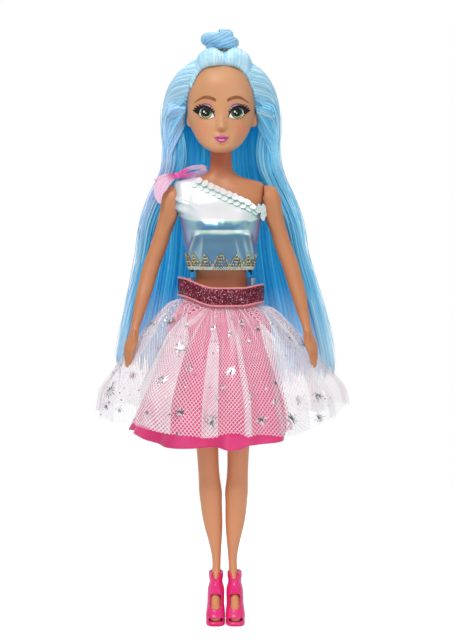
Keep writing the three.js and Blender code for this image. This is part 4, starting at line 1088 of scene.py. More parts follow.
# Height, x and y of the front edge of the hair at each side of the face and neck
EDGE_ROWS = [
    [287.0, 0.6, 0.0], [285.4, 1.4, -3.4], [282.8, 2.2, -8.6], [280.2, 4.5, -12.2], [278.2, 8.2, -13.4],
    [275.0, 11.6, -13.8], [269.5, 15.2, -12.6], [262.0, 17.2, -9.4], [257.5, 18.4, -3.0], [253.0, 19.2, 3.6],
    [247.0, 18.6, 5.4], [240.0, 17.4, 6.6], [232.0, 17.8, 8.2], [224.0, 20.5, 9.6], [214.5, 26.5, 12.2],
    [201.0, 33.0, 12.6], [186.0, 37.0, 13.8], [171.5, 41.0, 14.8], [159.0, 45.0, 14.6], [145.0, 48.5, 13.8],
    [131.5, 51.0, 13.6],
    [118.0, 52.0, 14.6],
]
hair_at = reader(HAIR_ROWS)


def on_head(x, z):
    """A point on the front of the head, or at its side where x is past it."""
    for inward in range(20):
        hit, _, _, _ = head_tree.ray_cast(place(x * (1 - 0.02 * inward), -60, z), Vector((0, 1, 0)))
        if hit is not None:
            return hit
    return place(x, -10, z)


# Round the face the edge lies on the head
for row in EDGE_ROWS:
    if 256 < row[0] < 281:
        row[2] = on_head(row[1], row[0]).y / MM - AXIS_Y / MM - 0.7
edge_at = reader(EDGE_ROWS)


def hair_point(turn, z, out=0.0):
    """A point of the hair's outside. The turn is 0 at the doll's left, a quarter turn at its
    back, and runs from minus a quarter turn, the front edge at the left, round to the right."""
    half, middle, depth = hair_at(z)
    # The doll's right side hangs a little closer
    if math.cos(turn) < 0:
        half *= mix(1.0, 0.93, smooth(215, 150, z))
    half, depth = half + out, depth + out
    c, s = math.cos(turn), math.sin(turn)
    if s >= 0:
        return place(half * c, middle + depth * s, z)
    edge_x, edge_y = edge_at(z)
    share = abs(c) ** 0.9
    return place(math.copysign(mix(edge_x, half, share), c), middle + (edge_y - middle) * -s - out * abs(s), z)


def hair_normal(turn, z):
    c, s = math.cos(turn), math.sin(turn)
    lift = smooth(262, 286, z) * 1.6
    return Vector((c, s if s > 0 else s * 0.7, lift)).normalized()


LOCK_SIDES = 6


class Locks:
    """Gathers locks of hair into one mesh, with the fibre's place across and along each lock."""

    def __init__(self, name):
        self.name, self.points, self.faces, self.fibre, self.lilac = name, [], [], [], []

    def add(self, path, normals, width, thick, tone, lilac=0.0, taper_in=0.25, taper_out=0.12):
        path = np.array([tuple(p) for p in path])
        count = len(path)
        tangents = np.gradient(path, axis=0)
        tangents /= np.linalg.norm(tangents, axis=1)[:, None] + 1e-12
        normals = np.array([tuple(n) for n in normals])
        normals = normals - tangents * np.sum(normals * tangents, axis=1)[:, None]
        normals /= np.linalg.norm(normals, axis=1)[:, None] + 1e-12
        sides = np.cross(tangents, normals)
        along = np.concatenate([[0], np.cumsum(np.linalg.norm(np.diff(path, axis=0), axis=1))]) / MM
        reach = np.linspace(0, 1, count)
        size = np.minimum(1, taper_in + (1 - taper_in) * np.clip(reach / 0.12, 0, 1))
        size *= np.where(reach > 0.82, taper_out + (1 - taper_out) * np.clip((1 - reach) / 0.18, 0, 1) ** 0.6, 1)
        base = len(self.points)
        start = rng.uniform(0, 900)
        for i in range(count):
            for k in range(LOCK_SIDES):
                angle = 2 * math.pi * k / LOCK_SIDES
                a, b = math.cos(angle), math.sin(angle)
                spread = width[i] if hasattr(width, "__len__") else width
                self.points.append(tuple(
                    path[i] + sides[i] * (a * spread * size[i] / 2 * MM) + normals[i] * (b * thick * size[i] / 2 * MM)))
                self.fibre.append((start + a * spread / 2, along[i] + start, tone))
                self.lilac.append(lilac[i] if hasattr(lilac, "__len__") else lilac)
        for i in range(count - 1):
            for k in range(LOCK_SIDES):
                n = (k + 1) % LOCK_SIDES
                a, b = base + i * LOCK_SIDES, base + (i + 1) * LOCK_SIDES
                self.faces.append((a + k, a + n, b + n, b + k))
        self.faces.append(tuple(base + k for k in reversed(range(LOCK_SIDES))))
        self.faces.append(tuple(base + (count - 1) * LOCK_SIDES + k for k in range(LOCK_SIDES)))

    def build(self):
        mesh = mesh_of(self.name, self.points, self.faces)
        store(mesh, self.fibre, self.lilac)
        return shade(face_outwards(show(self.name, mesh)))


def store(mesh, fibre, lilac):
    held = mesh.attributes.new("fibre", "FLOAT_VECTOR", "POINT")
    held.data.foreach_set("vector", [c for row in fibre for c in row])
    tint = mesh.attributes.new("lilac", "FLOAT", "POINT")
    tint.data.foreach_set("value", lilac)


def lilac_at(turn, z):
    """The hair is lilac along the doll's right side, and a little at its outer ends."""
    right = smooth(0.3, 0.95, -math.cos(turn)) * math.exp(-(((z - 220) / 20) ** 2))
    ends = 0.35 * smooth(0.5, 1.0, -math.cos(turn)) * smooth(215, 150, z)
    return min(0.75, 0.75 * right + ends)


def end_rise(turn):
    """How low the hair hangs at each place across it."""
    return 121 + 6 * abs(math.cos(turn)) ** 3 - 4 * math.sin(turn) + (6 if math.cos(turn) < -0.5 else 0)


def hair_shell(name, low_turn, high_turn, columns, top, bottom, rows, depth):
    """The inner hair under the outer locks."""
    def point_at(u, v):
        turn = mix(low_turn, high_turn, u)
        end = bottom if bottom is not None else end_rise(turn) + 5
        z = mix(top, end, v)
        comb = 0.35 * math.sin(u * columns * 1.9) + 0.3 * math.sin(u * columns * 0.73 + v * 3)
        return hair_point(turn, z, -depth + comb)

    sheet = cloth_grid(name, columns, rows, point_at)
    thicken(sheet, 1.6, 0.0)
    spots = [((abs(v.co.x) * 1.5 - v.co.y) / MM, v.co.z / MM, -0.5) for v in sheet.data.vertices]
    store(sheet.data, spots, [0.0] * len(spots))
    return face_outwards(sheet)


# Painted light: the outer hair glows a little, and the inside copy is a deeper blue that glows more, standing in for
# light through the fibres where the fall lies in shade. The crown copy is paler, a painted highlight.
blue_hair = hair_fibre("nylon_hair", "#3FA9DC", "#82D0F0", "#DDF6FC", "#C3D0FA", glow=0.06)
inside_hair_painted_glow = hair_fibre("nylon_hair_inside", "#0C93D2", "#1CAAE4", "#5CCBF2", "#4FA9E2", 0.5, 0.9, 0.24)
crown_hair_painted_highlight = hair_fibre("nylon_hair_crown", "#3FB0E0", "#9ADFF4", "#F0FDFF", "#C5D2F6", 0.3)
bun_hair = hair_fibre("nylon_hair_bun", "#0E97DE", "#5FCDF3", "#ECFBFF", "#C5D2F6", 0.3)

TIE_TOP = 286.2


def on_side(side, turn):
    """A turn as it is at the doll's left, or its mirror at the right."""
    return turn if side > 0 else math.pi - turn


def edge_root(side, z, inset):
    """Where a lock leaves the scalp at the edge of the hair."""
    edge_x, edge_y = edge_at(z)
    return on_head(side * (edge_x - inset), z) if z > 262 else place(side * (edge_x - 0.8), edge_y, z)


def fall_lock(group, turn, start_z, root, out, width, thick, tone, end=None, wander=1.0):
    """One long lock down the fall. root is its first points, before it joins the fall."""
    end = end_rise(turn) + rng.uniform(-5, 9) if end is None else end
    count = 26
    path = list(root)
    normals = [(p - place(0.3, 4, 256)).normalized() for p in path]
    lilac = [lilac_at(turn, start_z)] * len(path)
    phase, sway = rng.uniform(0, 6.28), rng.uniform(0.3, 1.0) * wander
    for i in range(count):
        share = i / (count - 1)
        z = mix(start_z, end, share)
        drift = 0.018 * sway * math.sin(phase + share * 5.0) * smooth(0, 0.3, share)
        here = turn + drift
        lift = out + 0.5 * sway * math.sin(phase * 2 + share * 7)
        path.append(hair_point(here, z, lift))
        normals.append(hair_normal(here, z))
        lilac.append(lilac_at(here, z))
    group.add(path, normals, width, thick, tone, lilac)


def hairline(x):
    """How high the hair starts over the forehead."""
    edge_x = abs(x - 0.3)
    return 278.8 - 0.0078 * edge_x ** 2 - 0.00017 * edge_x ** 4


def crown_hair():
    """Hair combed up from the forehead in two puffs, and back to the tie."""
    group = Locks("hair_crown_locks")
    for layer, count in ((0, 46), (1, 60)):
        for i in range(count):
            x = mix(-14.6, 15.4, (i + rng.uniform(-0.3, 0.3)) / (count - 1))
            off = x - (-4.6 if x < 1.6 else 7.4)
            lobe = math.exp(-((off / 4.4) ** 2))
            outer = smooth(4.2, 8.4, abs(off)) * (1 if abs(x - 1.4) > 8 else 0)
            root = on_head(x, hairline(x))
            low, front = root.z / MM, (root.y - AXIS_Y) / MM
            crest = 283.6 + 3.6 * lobe - 4.4 * outer + 0.3 * layer
            fan = off * (1 - 0.85 * outer)
            points = [
                (x, front, low), (x + 0.14 * fan, front - 1.0 - 2.0 * lobe, low + mix(1.8, 1.0, outer)),
                (x + 0.26 * fan, front - 0.4 - 2.4 * lobe + outer, mix(low, crest, 0.62)),
                (x + 0.12 * fan, front + mix(2.6, 4.6, outer), crest),
                (mix(x, 1.2, 0.42), -4.6, mix(crest, 285.6, 0.4)),
                (1.2 + off * 0.1, 0.4, TIE_TOP - 1.4 + rng.uniform(-0.5, 0.5)),
            ]
            path = curve_through([place(*q) for q in points], 20)
            normals = [(p - place(0.3 + 0.5 * (x - off), 2, 274)).normalized() for p in path]
            wide = [mix(2.0, 0.9, j / 19) for j in range(20)]
            # Painted shade: locks between the two puffs and on their outer flanks take a darker tone; besides that the
            # tone differs at random
            tone = rng.uniform(-0.3, 0.9) - 1.1 * (1 - lobe) * smooth(3.4, 6, abs(off)) * (1 - outer)
            group.add(path, normals, wide, 1.0, tone, 0.1, 0.4, 0.7)
    return coat(group.build(), crown_hair_painted_highlight, "head", "hair", ("hair_poof",))


def temple_hair(side, group):
    """Hair combed from the hairline over the side of the crown, which runs out in the fall."""
    for layer in range(2):
        for i in range(66):
            share = min(max((i + rng.uniform(-0.4, 0.4)) / 65, 0), 1)
            z = mix(278.6, 250.5, share)
            root = edge_root(side, z, 0.3)
            settle = mix(0.85, -0.5, share) + rng.uniform(-0.15, 0.15) - 0.2 * layer
            drop = mix(30, 13, share) + rng.uniform(-3, 3)
            path = [root, root + Vector((side * mix(1.3, 0.7, share), -0.8, mix(1.3, -0.5, share))) * MM]
            for step in (0.22, 0.45, 0.7, 1.0):
                angle = mix(-1.2, settle, step ** 0.85)
                high = z + 2.6 * math.sin(math.pi * step) * (1 - share) - drop * step ** mix(2, 1.15, share)
                path.append(hair_point(on_side(side, angle), min(high, 285.0), 0.8 + 0.3 * layer))
            lead = curve_through(path, 15)[:-1]
            fall_lock(group, on_side(side, settle), z - drop, lead, 0.8, rng.uniform(1.5, 2.6),
                      0.8, rng.uniform(-0.2, 0.9), rng.uniform(165, 226))


def side_hair(side, group):
    """Hair combed back from the temple, which turns down into the fall."""
    for layer, count in ((0, 14), (1, 20), (2, 22)):
        for i in range(count):
            share = min(max((i + rng.uniform(-0.7, 0.7)) / (count - 1), 0), 1)
            z = mix(270.0, 250.0, share)
            root = edge_root(side, z, 0.4)
            settle = mix(-0.12, -0.62, share) + 0.16 * layer + rng.uniform(-0.12, 0.12)
            turn = on_side(side, settle)
            drop = mix(11, 17, share) + rng.uniform(-3, 3)
            first = root + Vector((side * mix(1.2, 0.5, share), -0.4, mix(0.6, -0.6, share))) * MM
            joined = hair_point(turn, z - drop, 0.4 + 0.3 * layer)
            between = first.lerp(joined, 0.5) + Vector((side * 0.6, -0.3, mix(1.2, -0.8, share))) * MM
            lead = curve_through([root, first, between, joined], 9)[:-1]
            long_one = layer < 2 or rng.random() < 0.5
            end = None if long_one else rng.uniform(150, 200)
            width = rng.uniform(1.3, 2.4) - layer * 0.2
            fall_lock(group, turn, z - drop, lead, 0.4 + 0.3 * layer, width, 0.9,
                      rng.uniform(-0.25, 0.75), end)


def back_hair(low_turn, high_turn, group, count):
    """Hair from the tie over the back of the head and down."""
    for layer in range(2):
        for i in range(count):
            turn = mix(low_turn, high_turn, (i + rng.uniform(0.1, 0.9)) / count)
            root = [place(1.2 + math.cos(turn) * 1.5, 1.5 + math.sin(turn) * 1.5, TIE_TOP - 0.8)]
            path_top = [hair_point(turn, h, 0.4 * layer) for h in (285.2, 282.5, 278.5, 273.0, 266.5)]
            lead = curve_through(root + path_top + [hair_point(turn, 260, 0.3 * layer)], 12)[:-1]
            fall_lock(group, turn, 260, lead, 0.2 + 0.5 * layer, rng.uniform(1.7, 3.1), 1.0,
                      rng.uniform(-0.35, 0.6))


def inner_hair(low_turn, high_turn, group, count):
    """Hair inside the fall, seen beside the neck and between the arms and the body."""
    for layer in range(2):
        for i in range(count):
            turn = mix(low_turn, high_turn, (i + rng.uniform(0.1, 0.9)) / count)
            fall_lock(group, turn, 250 - layer * 2, [], -2.6 - 0.7 * layer, rng.uniform(1.8, 3.0), 1.0,
                      rng.uniform(-0.5, 0.8))


def stray_hair(group, low_turn, high_turn, count):
    """Thin single strands that hang a little off the rest."""
    for _ in range(count):
        turn = rng.uniform(low_turn, high_turn)
        start = rng.uniform(238, 262)
        fall_lock(group, turn, start, [], 1.2 + rng.uniform(0, 1.4), 0.5, 0.4, rng.uniform(0.3, 0.9),
                  end_rise(turn) + rng.uniform(-4, 30), 2.4)


def make_hair():
    quarter = math.pi / 2
    crown_hair()
    third = math.pi / 3
    parts = (
        ("left", -quarter, third, 26, 1), ("middle", third, 2 * third, 26, 0),
        ("right", 2 * third, math.pi + quarter, 26, -1),
    )
    for word, low, high, columns, side in parts:
        group = Locks(f"hair_{word}_locks")
        if side:
            side_hair(side, group)
            temple_hair(side, group)
            # Locks from behind the ear, at the inner edge of the fall
            for _ in range(26):
                turn = rng.uniform(-1.52, -0.8)
                start = rng.uniform(243, 252)
                fall_lock(group, on_side(side, turn), start, [], rng.uniform(-0.6, 0.3),
                          rng.uniform(1.6, 2.8), 0.9, rng.uniform(-1.0, 0.4))
            back_low, back_high = (-0.25, third) if side > 0 else (2 * third, math.pi + 0.25)
            back_hair(back_low, back_high, group, 46)
            stray_hair(group, *((-0.5, 0.6) if side > 0 else (math.pi - 0.6, math.pi + 0.5)), 14)
        else:
            back_hair(low, high, group, 33)
        locks = group.build()
        under = Locks(f"hair_{word}_inner_locks")
        inner_hair(max(low, -0.9), min(high, math.pi + 0.9), under, 38 if side else 28)
        under = under.build()
        shell = hair_shell(f"hair_{word}_inside", low, high, columns, 244, None, 44, 1.6)
        for obj, finish in ((locks, blue_hair), (under, inside_hair_painted_glow), (shell, inside_hair_painted_glow)):
            dress(obj, finish)
            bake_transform(obj)
        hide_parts(f"hair_lock_{word}")
    cap = hair_shell("hair_cap_inside", -quarter, math.pi + quarter, 72, 286.4, 243.0, 30, 0.9)
    coat(cap, inside_hair_painted_glow, "head", "hair", ("hair_cap",))
    # Dark roots where the plugs of hair leave the scalp
    plugs = Locks("hair_plugs")
    for side in (1, -1):
        for i in range(58):
            z = 279.2 - (i / 57) * 22
            edge_x, edge_y = edge_at(z)
            if z > 266:
                edge_x = 15.9 * (i / 57 * 2.0) ** 0.8
                z = hairline(side * edge_x + 0.3) + 0.1
            root = on_head(side * edge_x + 0.3, z) if z > 266 else place(side * (edge_x - 0.2), edge_y, z)
            away = Vector((side * 0.035 * edge_x, -0.25, 0.6)) if z > 266 else Vector((side * 0.9, 0.0, 0.2))
            tip = root + away.normalized() * 1.9 * MM
            path = curve_through([root - away * 0.4 * MM, root.lerp(tip, 0.5) + Vector((0, -0.25, 0)) * MM, tip], 6)
            plugs.add(path, [Vector((side * 0.3, -1, 0.2))] * 6, 0.42, 0.4, -0.6, 0, 0.8, 0.8)
    coat(plugs.build(), inside_hair_painted_glow, "head", "hair")


def make_bun():
    """A twisted rope of hair coiled on top, in a black elastic with a gold thread."""
    rope = curve_through([place(*p) for p in (
        (-3, 2, 286.5), (-4.8, -1, 290.0), (3, -4.2, 290.9), (6, 0, 291.0), (2, 5.5, 291), (-5, 4, 292),
        (-7, -1, 293), (-2, -5, 293.2), (3.5, -2.5, 294.5), (3, 2, 296), (-1, 1, 296.5))], 110)
    group = Locks("hair_bun_locks")
    strands = 9
    for k in range(strands):
        path, normals = [], []
        for i, middle in enumerate(rope):
            share = i / (len(rope) - 1)
            ahead = (rope[min(i + 1, len(rope) - 1)] - rope[max(i - 1, 0)]).normalized()
            side = ahead.cross(Vector((0, 0, 1))).normalized()
            up = side.cross(ahead).normalized()
            angle = 2 * math.pi * k / strands + share * 13
            radius = (mix(1.9, 2.3, smooth(0, 0.4, share)) if share < 0.6 else mix(2.3, 1.1, (share - 0.6) / 0.4)) * MM
            out = side * math.cos(angle) + up * math.sin(angle)
            path.append(middle + out * radius)
            normals.append(out)
        group.add(path, normals, 1.9, 1.7, rng.uniform(-0.8, 1.0), 0.0, 0.8, 0.3)
    coat(group.build(), bun_hair, "head", "hair", ("hair_bun",))
    # A turn of elastic round the base, and one of gold thread
    def loop(name, radius, z, thick, lean, finish, slot, names=()):
        obj = start_shape(bpy.ops.mesh.primitive_torus_add, name, major_radius=radius * MM,
                          minor_radius=thick * MM, major_segments=40, minor_segments=10)
        for v in obj.data.vertices:
            x, y, h = v.co / MM
            v.co = place(1.2 + x, 1.6 + y, z + h + lean * x + 0.15 * math.sin(5 * math.atan2(y, x)))
        coat(shade(obj), finish, "head", slot, names)

    loop("tie_elastic", 5.0, 288.1, 0.55, 0.1, cord_cloth("tie_elastic_cord", "#17161A", "#2A282E"), "hair_elastic",
         ("hair_tie",))
    loop("tie_gold", 5.3, 287.9, 0.5, -0.1, metal_thread(), "hair_elastic")


make_hair()
make_bun()


# ---- Top

TOP_HEM = 178.0
FOIL_LIFT = 0.45
# Each armhole is cut to one radius round the shoulder and its edge drawn out to the other; on
# the strap side it lies further back, because the front covers the joint
ARMHOLE_SIDE, ARMHOLE_CUT, ARMHOLE_EDGE, STRAP_SHIFT = 15.5, 7.4, 8.2, 3.2
# Ridges beyond this line start at the strap. The bare side is cut off above this height,
# measured from the shoulder joint
STRAP_START, BARE_SIDE_CUT = -20, -4.5
NECK_LEFT, NECK_RIGHT = (-11.3, 223.5), (20.7, 209.0)


def torso_ring_at(along):
    """The torso's row at a place along its table, as half width, front, back, height and ease."""
    rise, half, front, back, ease = rows_at(TORSO_ROWS, np.array([along]))[0]
    return half * SHOULDER_HALF, -front * CHEST_DEPTH, back * CHEST_DEPTH, HIP_RISE + rise * TORSO_RISE, ease * 5


def fold(distance, width):
    """A soft ridge across a distance."""
    return math.exp(-((distance / width) ** 2))


def near_line(x, z, start, end, width):
    """A ridge along a line."""
    dx, dz = end[0] - start[0], end[1] - start[1]
    share = min(max(((x - start[0]) * dx + (z - start[1]) * dz) / (dx * dx + dz * dz), 0), 1)
    # A ridge that starts at the strap runs out along its length
    fade = 1 - 0.95 * share if start[0] < STRAP_START else 1
    return fade * fold(math.hypot(x - start[0] - dx * share, z - start[1] - dz * share), width)


# Ridges of the stretched foil in front: from, to, height and width
TOP_RIDGES = [
    ((-10.5, 194.9), (12.0, 195.2), 1.2, 2.2), ((-9.5, 200.6), (12.0, 200.8), -0.35, 1.9),
    ((-11.5, 195.0), (-15.4, 186.5), 1.0, 1.2),
    ((-8.0, 193.0), (-9.4, 185.0), 0.7, 0.9), ((12.5, 195.0), (16.0, 185.0), 1.1, 1.3),
    ((6.0, 192.5), (8.4, 184.0), 0.65, 0.9), ((10.0, 193.0), (13.0, 184.0), 0.7, 0.9),
    ((-21.0, 213.6), (-9.4, 207.6), 1.2, 0.9), ((-21.0, 209.0), (-11.5, 204.2), 1.1, 0.9),
    ((-20.5, 205.0), (-14.5, 203.4), 0.4, 0.8), ((19.0, 204.0), (14.0, 201.5), 0.45, 0.9),
]


def top_taper(z):
    """The top narrows to its hem."""
    return 1 - 0.1 * smooth(194, TOP_HEM, z)


def top_folds(x, z, front):
    """How far the foil stands off its smooth shape."""
    if not front:
        low = 0.25 * math.sin(z * 1.15 + x * 0.2) * smooth(205, 184, z)
        return low + 0.3 * fold(abs(x) - 1.6, 0.5)
    return sum(deep * near_line(x, z, start, end, width) for start, end, deep, width in TOP_RIDGES)


def make_top():
    foil = foil_cloth()
    low, high = 4.35, 16.4

    def point_at(u, v):
        half, front, back, z, ease = torso_ring_at(mix(low, high, v))
        turn = 2 * math.pi * u
        c, s = math.cos(turn), math.sin(turn)
        x = (half + ease) * squared(c, TORSO_SQUARE)
        y = (front + back) / 2 + ((back - front) / 2 + ease) * squared(s, TORSO_SQUARE)
        if y < 0:
            y -= bust(x, z)
        out = FOIL_LIFT + top_folds(x, z, y < 0) * (0.4 if z > 214 else 1)
        # Between the breasts the cloth is stretched straight across
        if y < 0:
            y -= 1.3 * fold(x, 4.0) * fold(z - BUST_RISE, 6.0)
        away = Vector((c, s))
        x *= top_taper(z)
        wing = 1.3 * smooth(-15, -19, x) * smooth(202, 209, z) if y < 0 else 0.0
        return place(x + away.x * out - wing, y + away.y * out - 0.3 * wing, z)

    whole = cloth_grid("top", 200, 96, point_at, True)
    slope = Vector((NECK_RIGHT[1] - NECK_LEFT[1], 0, NECK_LEFT[0] - NECK_RIGHT[0])).normalized() * -1
    edit_all(
        whole,
        (bpy.ops.mesh.bisect, {"plane_co": place(0, 0, TOP_HEM), "plane_no": (0, 0, 1), "clear_inner": True}),
        (bpy.ops.mesh.select_all, {"action": "SELECT"}),
        (bpy.ops.mesh.bisect, {
            "plane_co": place(NECK_LEFT[0], 0, NECK_LEFT[1]), "plane_no": slope, "clear_outer": True}))
    doomed = []
    for v in whole.data.vertices:
        x, y, z = spot_of(v)
        shift = STRAP_SHIFT if x < 0 else 0.0
        y, z = y - shift, z - SHOULDER_RISE
        reach = math.hypot(y, z)
        if (abs(x) > ARMHOLE_SIDE and reach < ARMHOLE_CUT) or (x > ARMHOLE_SIDE and z > BARE_SIDE_CUT):
            doomed.append(v.index)
        elif abs(x) > ARMHOLE_SIDE and reach < ARMHOLE_EDGE:
            v.co.y = AXIS_Y + (y / reach * ARMHOLE_EDGE + shift) * MM
            v.co.z = (SHOULDER_RISE + z / reach * ARMHOLE_EDGE) * MM
    remove_points(whole, doomed)
    pieces = {}
    for word, clear in (("front", {"clear_outer": True}), ("back", {"clear_inner": True})):
        panel = show(f"top_{word}_panel", whole.data.copy())
        panel.data.name = panel.name
        edit_all(panel, (bpy.ops.mesh.bisect, {"plane_co": place(0, 0.4, 0), "plane_no": (0, 1, 0), **clear}))
        pieces[word] = panel
    bpy.data.objects.remove(whole)
    surface = tree_of(pieces["front"])
    for word, panel in pieces.items():
        shade(thicken(panel, 0.35, 1.0))
        coat(panel, foil, "torso", "foil_fabric", (f"top_{word}",))
    return surface


def remove_points(obj, indices):
    choose(obj)
    bpy.ops.object.mode_set(mode="EDIT")
    bpy.ops.mesh.select_all(action="DESELECT")
    bpy.ops.object.mode_set(mode="OBJECT")
    for i in indices:
        obj.data.vertices[i].select = True
    bpy.ops.object.mode_set(mode="EDIT")
    bpy.ops.mesh.delete(type="VERT")
    bpy.ops.object.mode_set(mode="OBJECT")


def on_tree(surface, x, z, lift):
    """A point and its normal on a surface seen from the front."""
    hit, normal, _, _ = surface.ray_cast(place(x, -70, z), Vector((0, 1, 0)))
    if hit is None:
        hit, normal, _, _ = surface.find_nearest(place(x, -12, z))
    if normal.y > 0:
        normal = -normal
    return hit + normal * lift * MM, normal


def petal_model(long, wide):
    """A small dished petal, 0.44 mm thick in its middle."""
    obj = start_shape(bpy.ops.mesh.primitive_uv_sphere_add, segments=14, ring_count=8, radius=1)
    for v in obj.data.vertices:
        x, y, z = v.co
        narrow = 1 - 0.3 * smooth(0, 1, -x)
        v.co = Vector((x * long / 2, y * wide / 2 * narrow, z * 0.22 + 0.5 * (x * x + y * y) * 0.5)) * MM
    return obj


def make_trims(surface):
    film = sequin_film()
    along = Vector((NECK_RIGHT[0] - NECK_LEFT[0], 0, NECK_RIGHT[1] - NECK_LEFT[1])).normalized()
    down = Vector((along.z, 0, -along.x))
    if down.z > 0:
        down = -down
    petal = petal_model(5.0, 3.9)
    spots = []
    for x, z, lean in ((20.7, 208.4, 0.0), (20.8, 206.4, 0.3), (20.2, 204.4, -0.2), (20.6, 210.0, 0.4)):
        spot, _ = on_tree(surface, x - 1.6, z, 0.8)
        spots.append(towards(Vector((0.75, -0.6, 0.1)), Vector((lean, 0.2, -1)), spot + Vector((1.4, 0, 0)) * MM))
    for row, offset, count, lift in ((0, 3.5, 11, 0.5), (1, 1.3, 11, 1.0)):
        for i in range(count):
            share = (i + 0.5 * row + 0.2) / count
            x = mix(NECK_LEFT[0] - 1.0, NECK_RIGHT[0] - 0.6, share)
            z = mix(NECK_LEFT[1] + 0.5, NECK_RIGHT[1] + 0.3, share)
            spot, normal = on_tree(surface, x + down.x * offset, z + down.z * offset, lift)
            turn = down * 0.75 + along * (rng.uniform(0.1, 0.6) if row else rng.uniform(0.5, 0.9))
            tilt = (normal - down * (0.45 if row else 0.15) + along * rng.uniform(-0.3, 0.1)).normalized()
            spots.append(towards(tilt, turn, spot))
    trim = copies("neck_petals", petal, spots)
    bpy.data.objects.remove(petal)
    coat(trim, film, "torso", "sequin_trim", ("top_neck_trim",))

    # Lace braid: pointed scallops of gold beads over silver rows
    gold = metal_thread()
    bead = start_shape(bpy.ops.mesh.primitive_ico_sphere_add, subdivisions=1, radius=0.46 * MM)
    around = hem_path(0.9)
    scallops = 15

    def bead_at(share, up, lift=0.0, size=1.0):
        spot, normal = around(share, TOP_HEM + 0.4 + up, lift)
        return towards(normal, Vector((0, 0, 1)), spot) @ Matrix.Scale(size, 4)

    spots = []
    for k in range(scallops):
        middle = (k + 0.25) / scallops
        for row in range(8):
            reach = (1 - row / 7.6) ** 0.75 * 0.46
            for place_at in (-1.0, -0.55, -0.15, 0.15, 0.55, 1.0):
                if abs(place_at) < 0.9 and row % 2 == 0:
                    continue
                jitter = rng.uniform(-0.03, 0.03)
                spots.append(bead_at(middle + (place_at * reach + jitter) / scallops, 1.7 + row * 0.74,
                                     rng.uniform(0, 0.25), rng.uniform(0.8, 1.15)))
        spots.append(bead_at(middle, 7.3, 0.1, 1.3))
        spots.append(bead_at(middle, 3.6, 0.3, 1.5))
        spots.append(bead_at(middle - 0.5 / scallops, 2.4, 0.2, 1.2))
    edge = [bead_at((i + 0.5 * row) / 116, 0.55 * row, 0.15 * row) for row in (0, 1, 2) for i in range(116)]
    for name, chosen, finish, names in (("hem_braid_scallops", spots, gold, ("top_hem_braid",)),
                                        ("hem_braid_edge", edge, silver_thread(), ())):
        coat(copies(name, bead, chosen), finish, "torso", "metal_braid", names)
    bpy.data.objects.remove(bead)


def hem_path(lift):
    """Reads points round the hem of the top, lifted off the cloth."""
    def read(share, z, more):
        row = np.interp(z, [HIP_RISE + r[0] * TORSO_RISE for r in TORSO_ROWS], range(len(TORSO_ROWS)))
        half, front, back, _, ease = torso_ring_at(row)
        turn = 2 * math.pi * share
        c, s = math.cos(turn), math.sin(turn)
        off = ease + FOIL_LIFT + lift + more
        x = (half + off) * squared(c, TORSO_SQUARE) * top_taper(z)
        point = place(x, (front + back) / 2 + ((back - front) / 2 + off) * squared(s, TORSO_SQUARE), z)
        return point, Vector((c, s, 0)).normalized()

    return read


def make_bow():
    finish = chiffon_cloth()

    def ribbon(name, spine, widths, across, crinkle, names, facing=None):
        path = curve_through([place(*p) for p in spine], 33)
        wide = reader([[i / (len(widths) - 1), w] for i, w in enumerate(widths)])

        def point_at(u, v):
            i = u * 32
            low = min(int(i), 31)
            spot = path[low].lerp(path[low + 1], i - low)
            ahead = (path[low + 1] - path[low]).normalized()
            side = facing.cross(ahead) if facing else across - ahead * across.dot(ahead)
            side.normalize()
            up = ahead.cross(side)
            width = wide(u)[0]
            wave = crinkle * math.sin(v * 17 + 3 * math.sin(u * 5)) * (1 - 0.5 * u)
            return spot + side * ((v - 0.5) * width * MM) + up * wave * MM

        piece = cloth_grid(name, 32, 14, point_at)
        thicken(piece, 0.12, 0.0)
        dress(piece, finish)
        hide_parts(*names)
        return piece

    inner_loop = ribbon(
        "bow_inner_loop", ((-21.5, -3.2, 225.0), (-18.4, -5.0, 227.2), (-14.0, -5.8, 228.8), (-10.2, -5.0, 229.2),
                           (-7.4, -3.0, 228.4), (-9.2, -1.2, 226.6), (-14.4, -1.2, 225.2), (-21.0, -2.2, 224.4)),
        (1.6, 2.2, 2.6, 2.6, 2.2, 3.4, 3.4, 1.4), Vector((0.1, -0.5, 0.85)), 0.15, ("bow_loop_inner",))
    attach(inner_loop, "torso")
    outer_loop = ribbon(
        "bow_outer_loop", ((-22.6, -3.2, 225.0), (-25.2, -5.6, 224.0), (-28.4, -7.0, 222.3), (-31.3, -6.6, 220.6),
                           (-31.1, -4.9, 220.6), (-27.5, -4.0, 222.4), (-22.6, -2.6, 224.6)),
        (1.6, 4.4, 6.2, 6.2, 6.0, 5.0, 1.6), Vector((-0.5, -0.15, 0.85)), 0.2, ("bow_loop_outer",))
    tail = ribbon(
        "bow_tail_end", ((-23.0, -4.2, 224.6), (-26.4, -7.2, 222.6), (-29.6, -8.4, 219.6), (-31.0, -8.8, 215.6),
                         (-30.4, -8.9, 211.0)),
        (1.8, 4.4, 6.6, 4.4, 0.8), None, 0.2, ("bow_tail",), Vector((0.1, -1, 0.15)))
    for piece in (outer_loop, tail):
        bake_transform(piece)
    knot = start_shape(bpy.ops.mesh.primitive_uv_sphere_add, "bow_knot_wrap", segments=28, ring_count=18, radius=1)
    for v in knot.data.vertices:
        x, y, z = v.co
        pleat = 1 + 0.07 * math.sin(7 * math.atan2(z, y) + 2 * x)
        v.co = place(-21.8 + x * 1.7, -3.0 + y * 1.8 * pleat, 224.9 + z * 1.6 * pleat - 0.3 * x)
    coat(shade(knot), finish, "torso", "chiffon", ("bow_knot",))


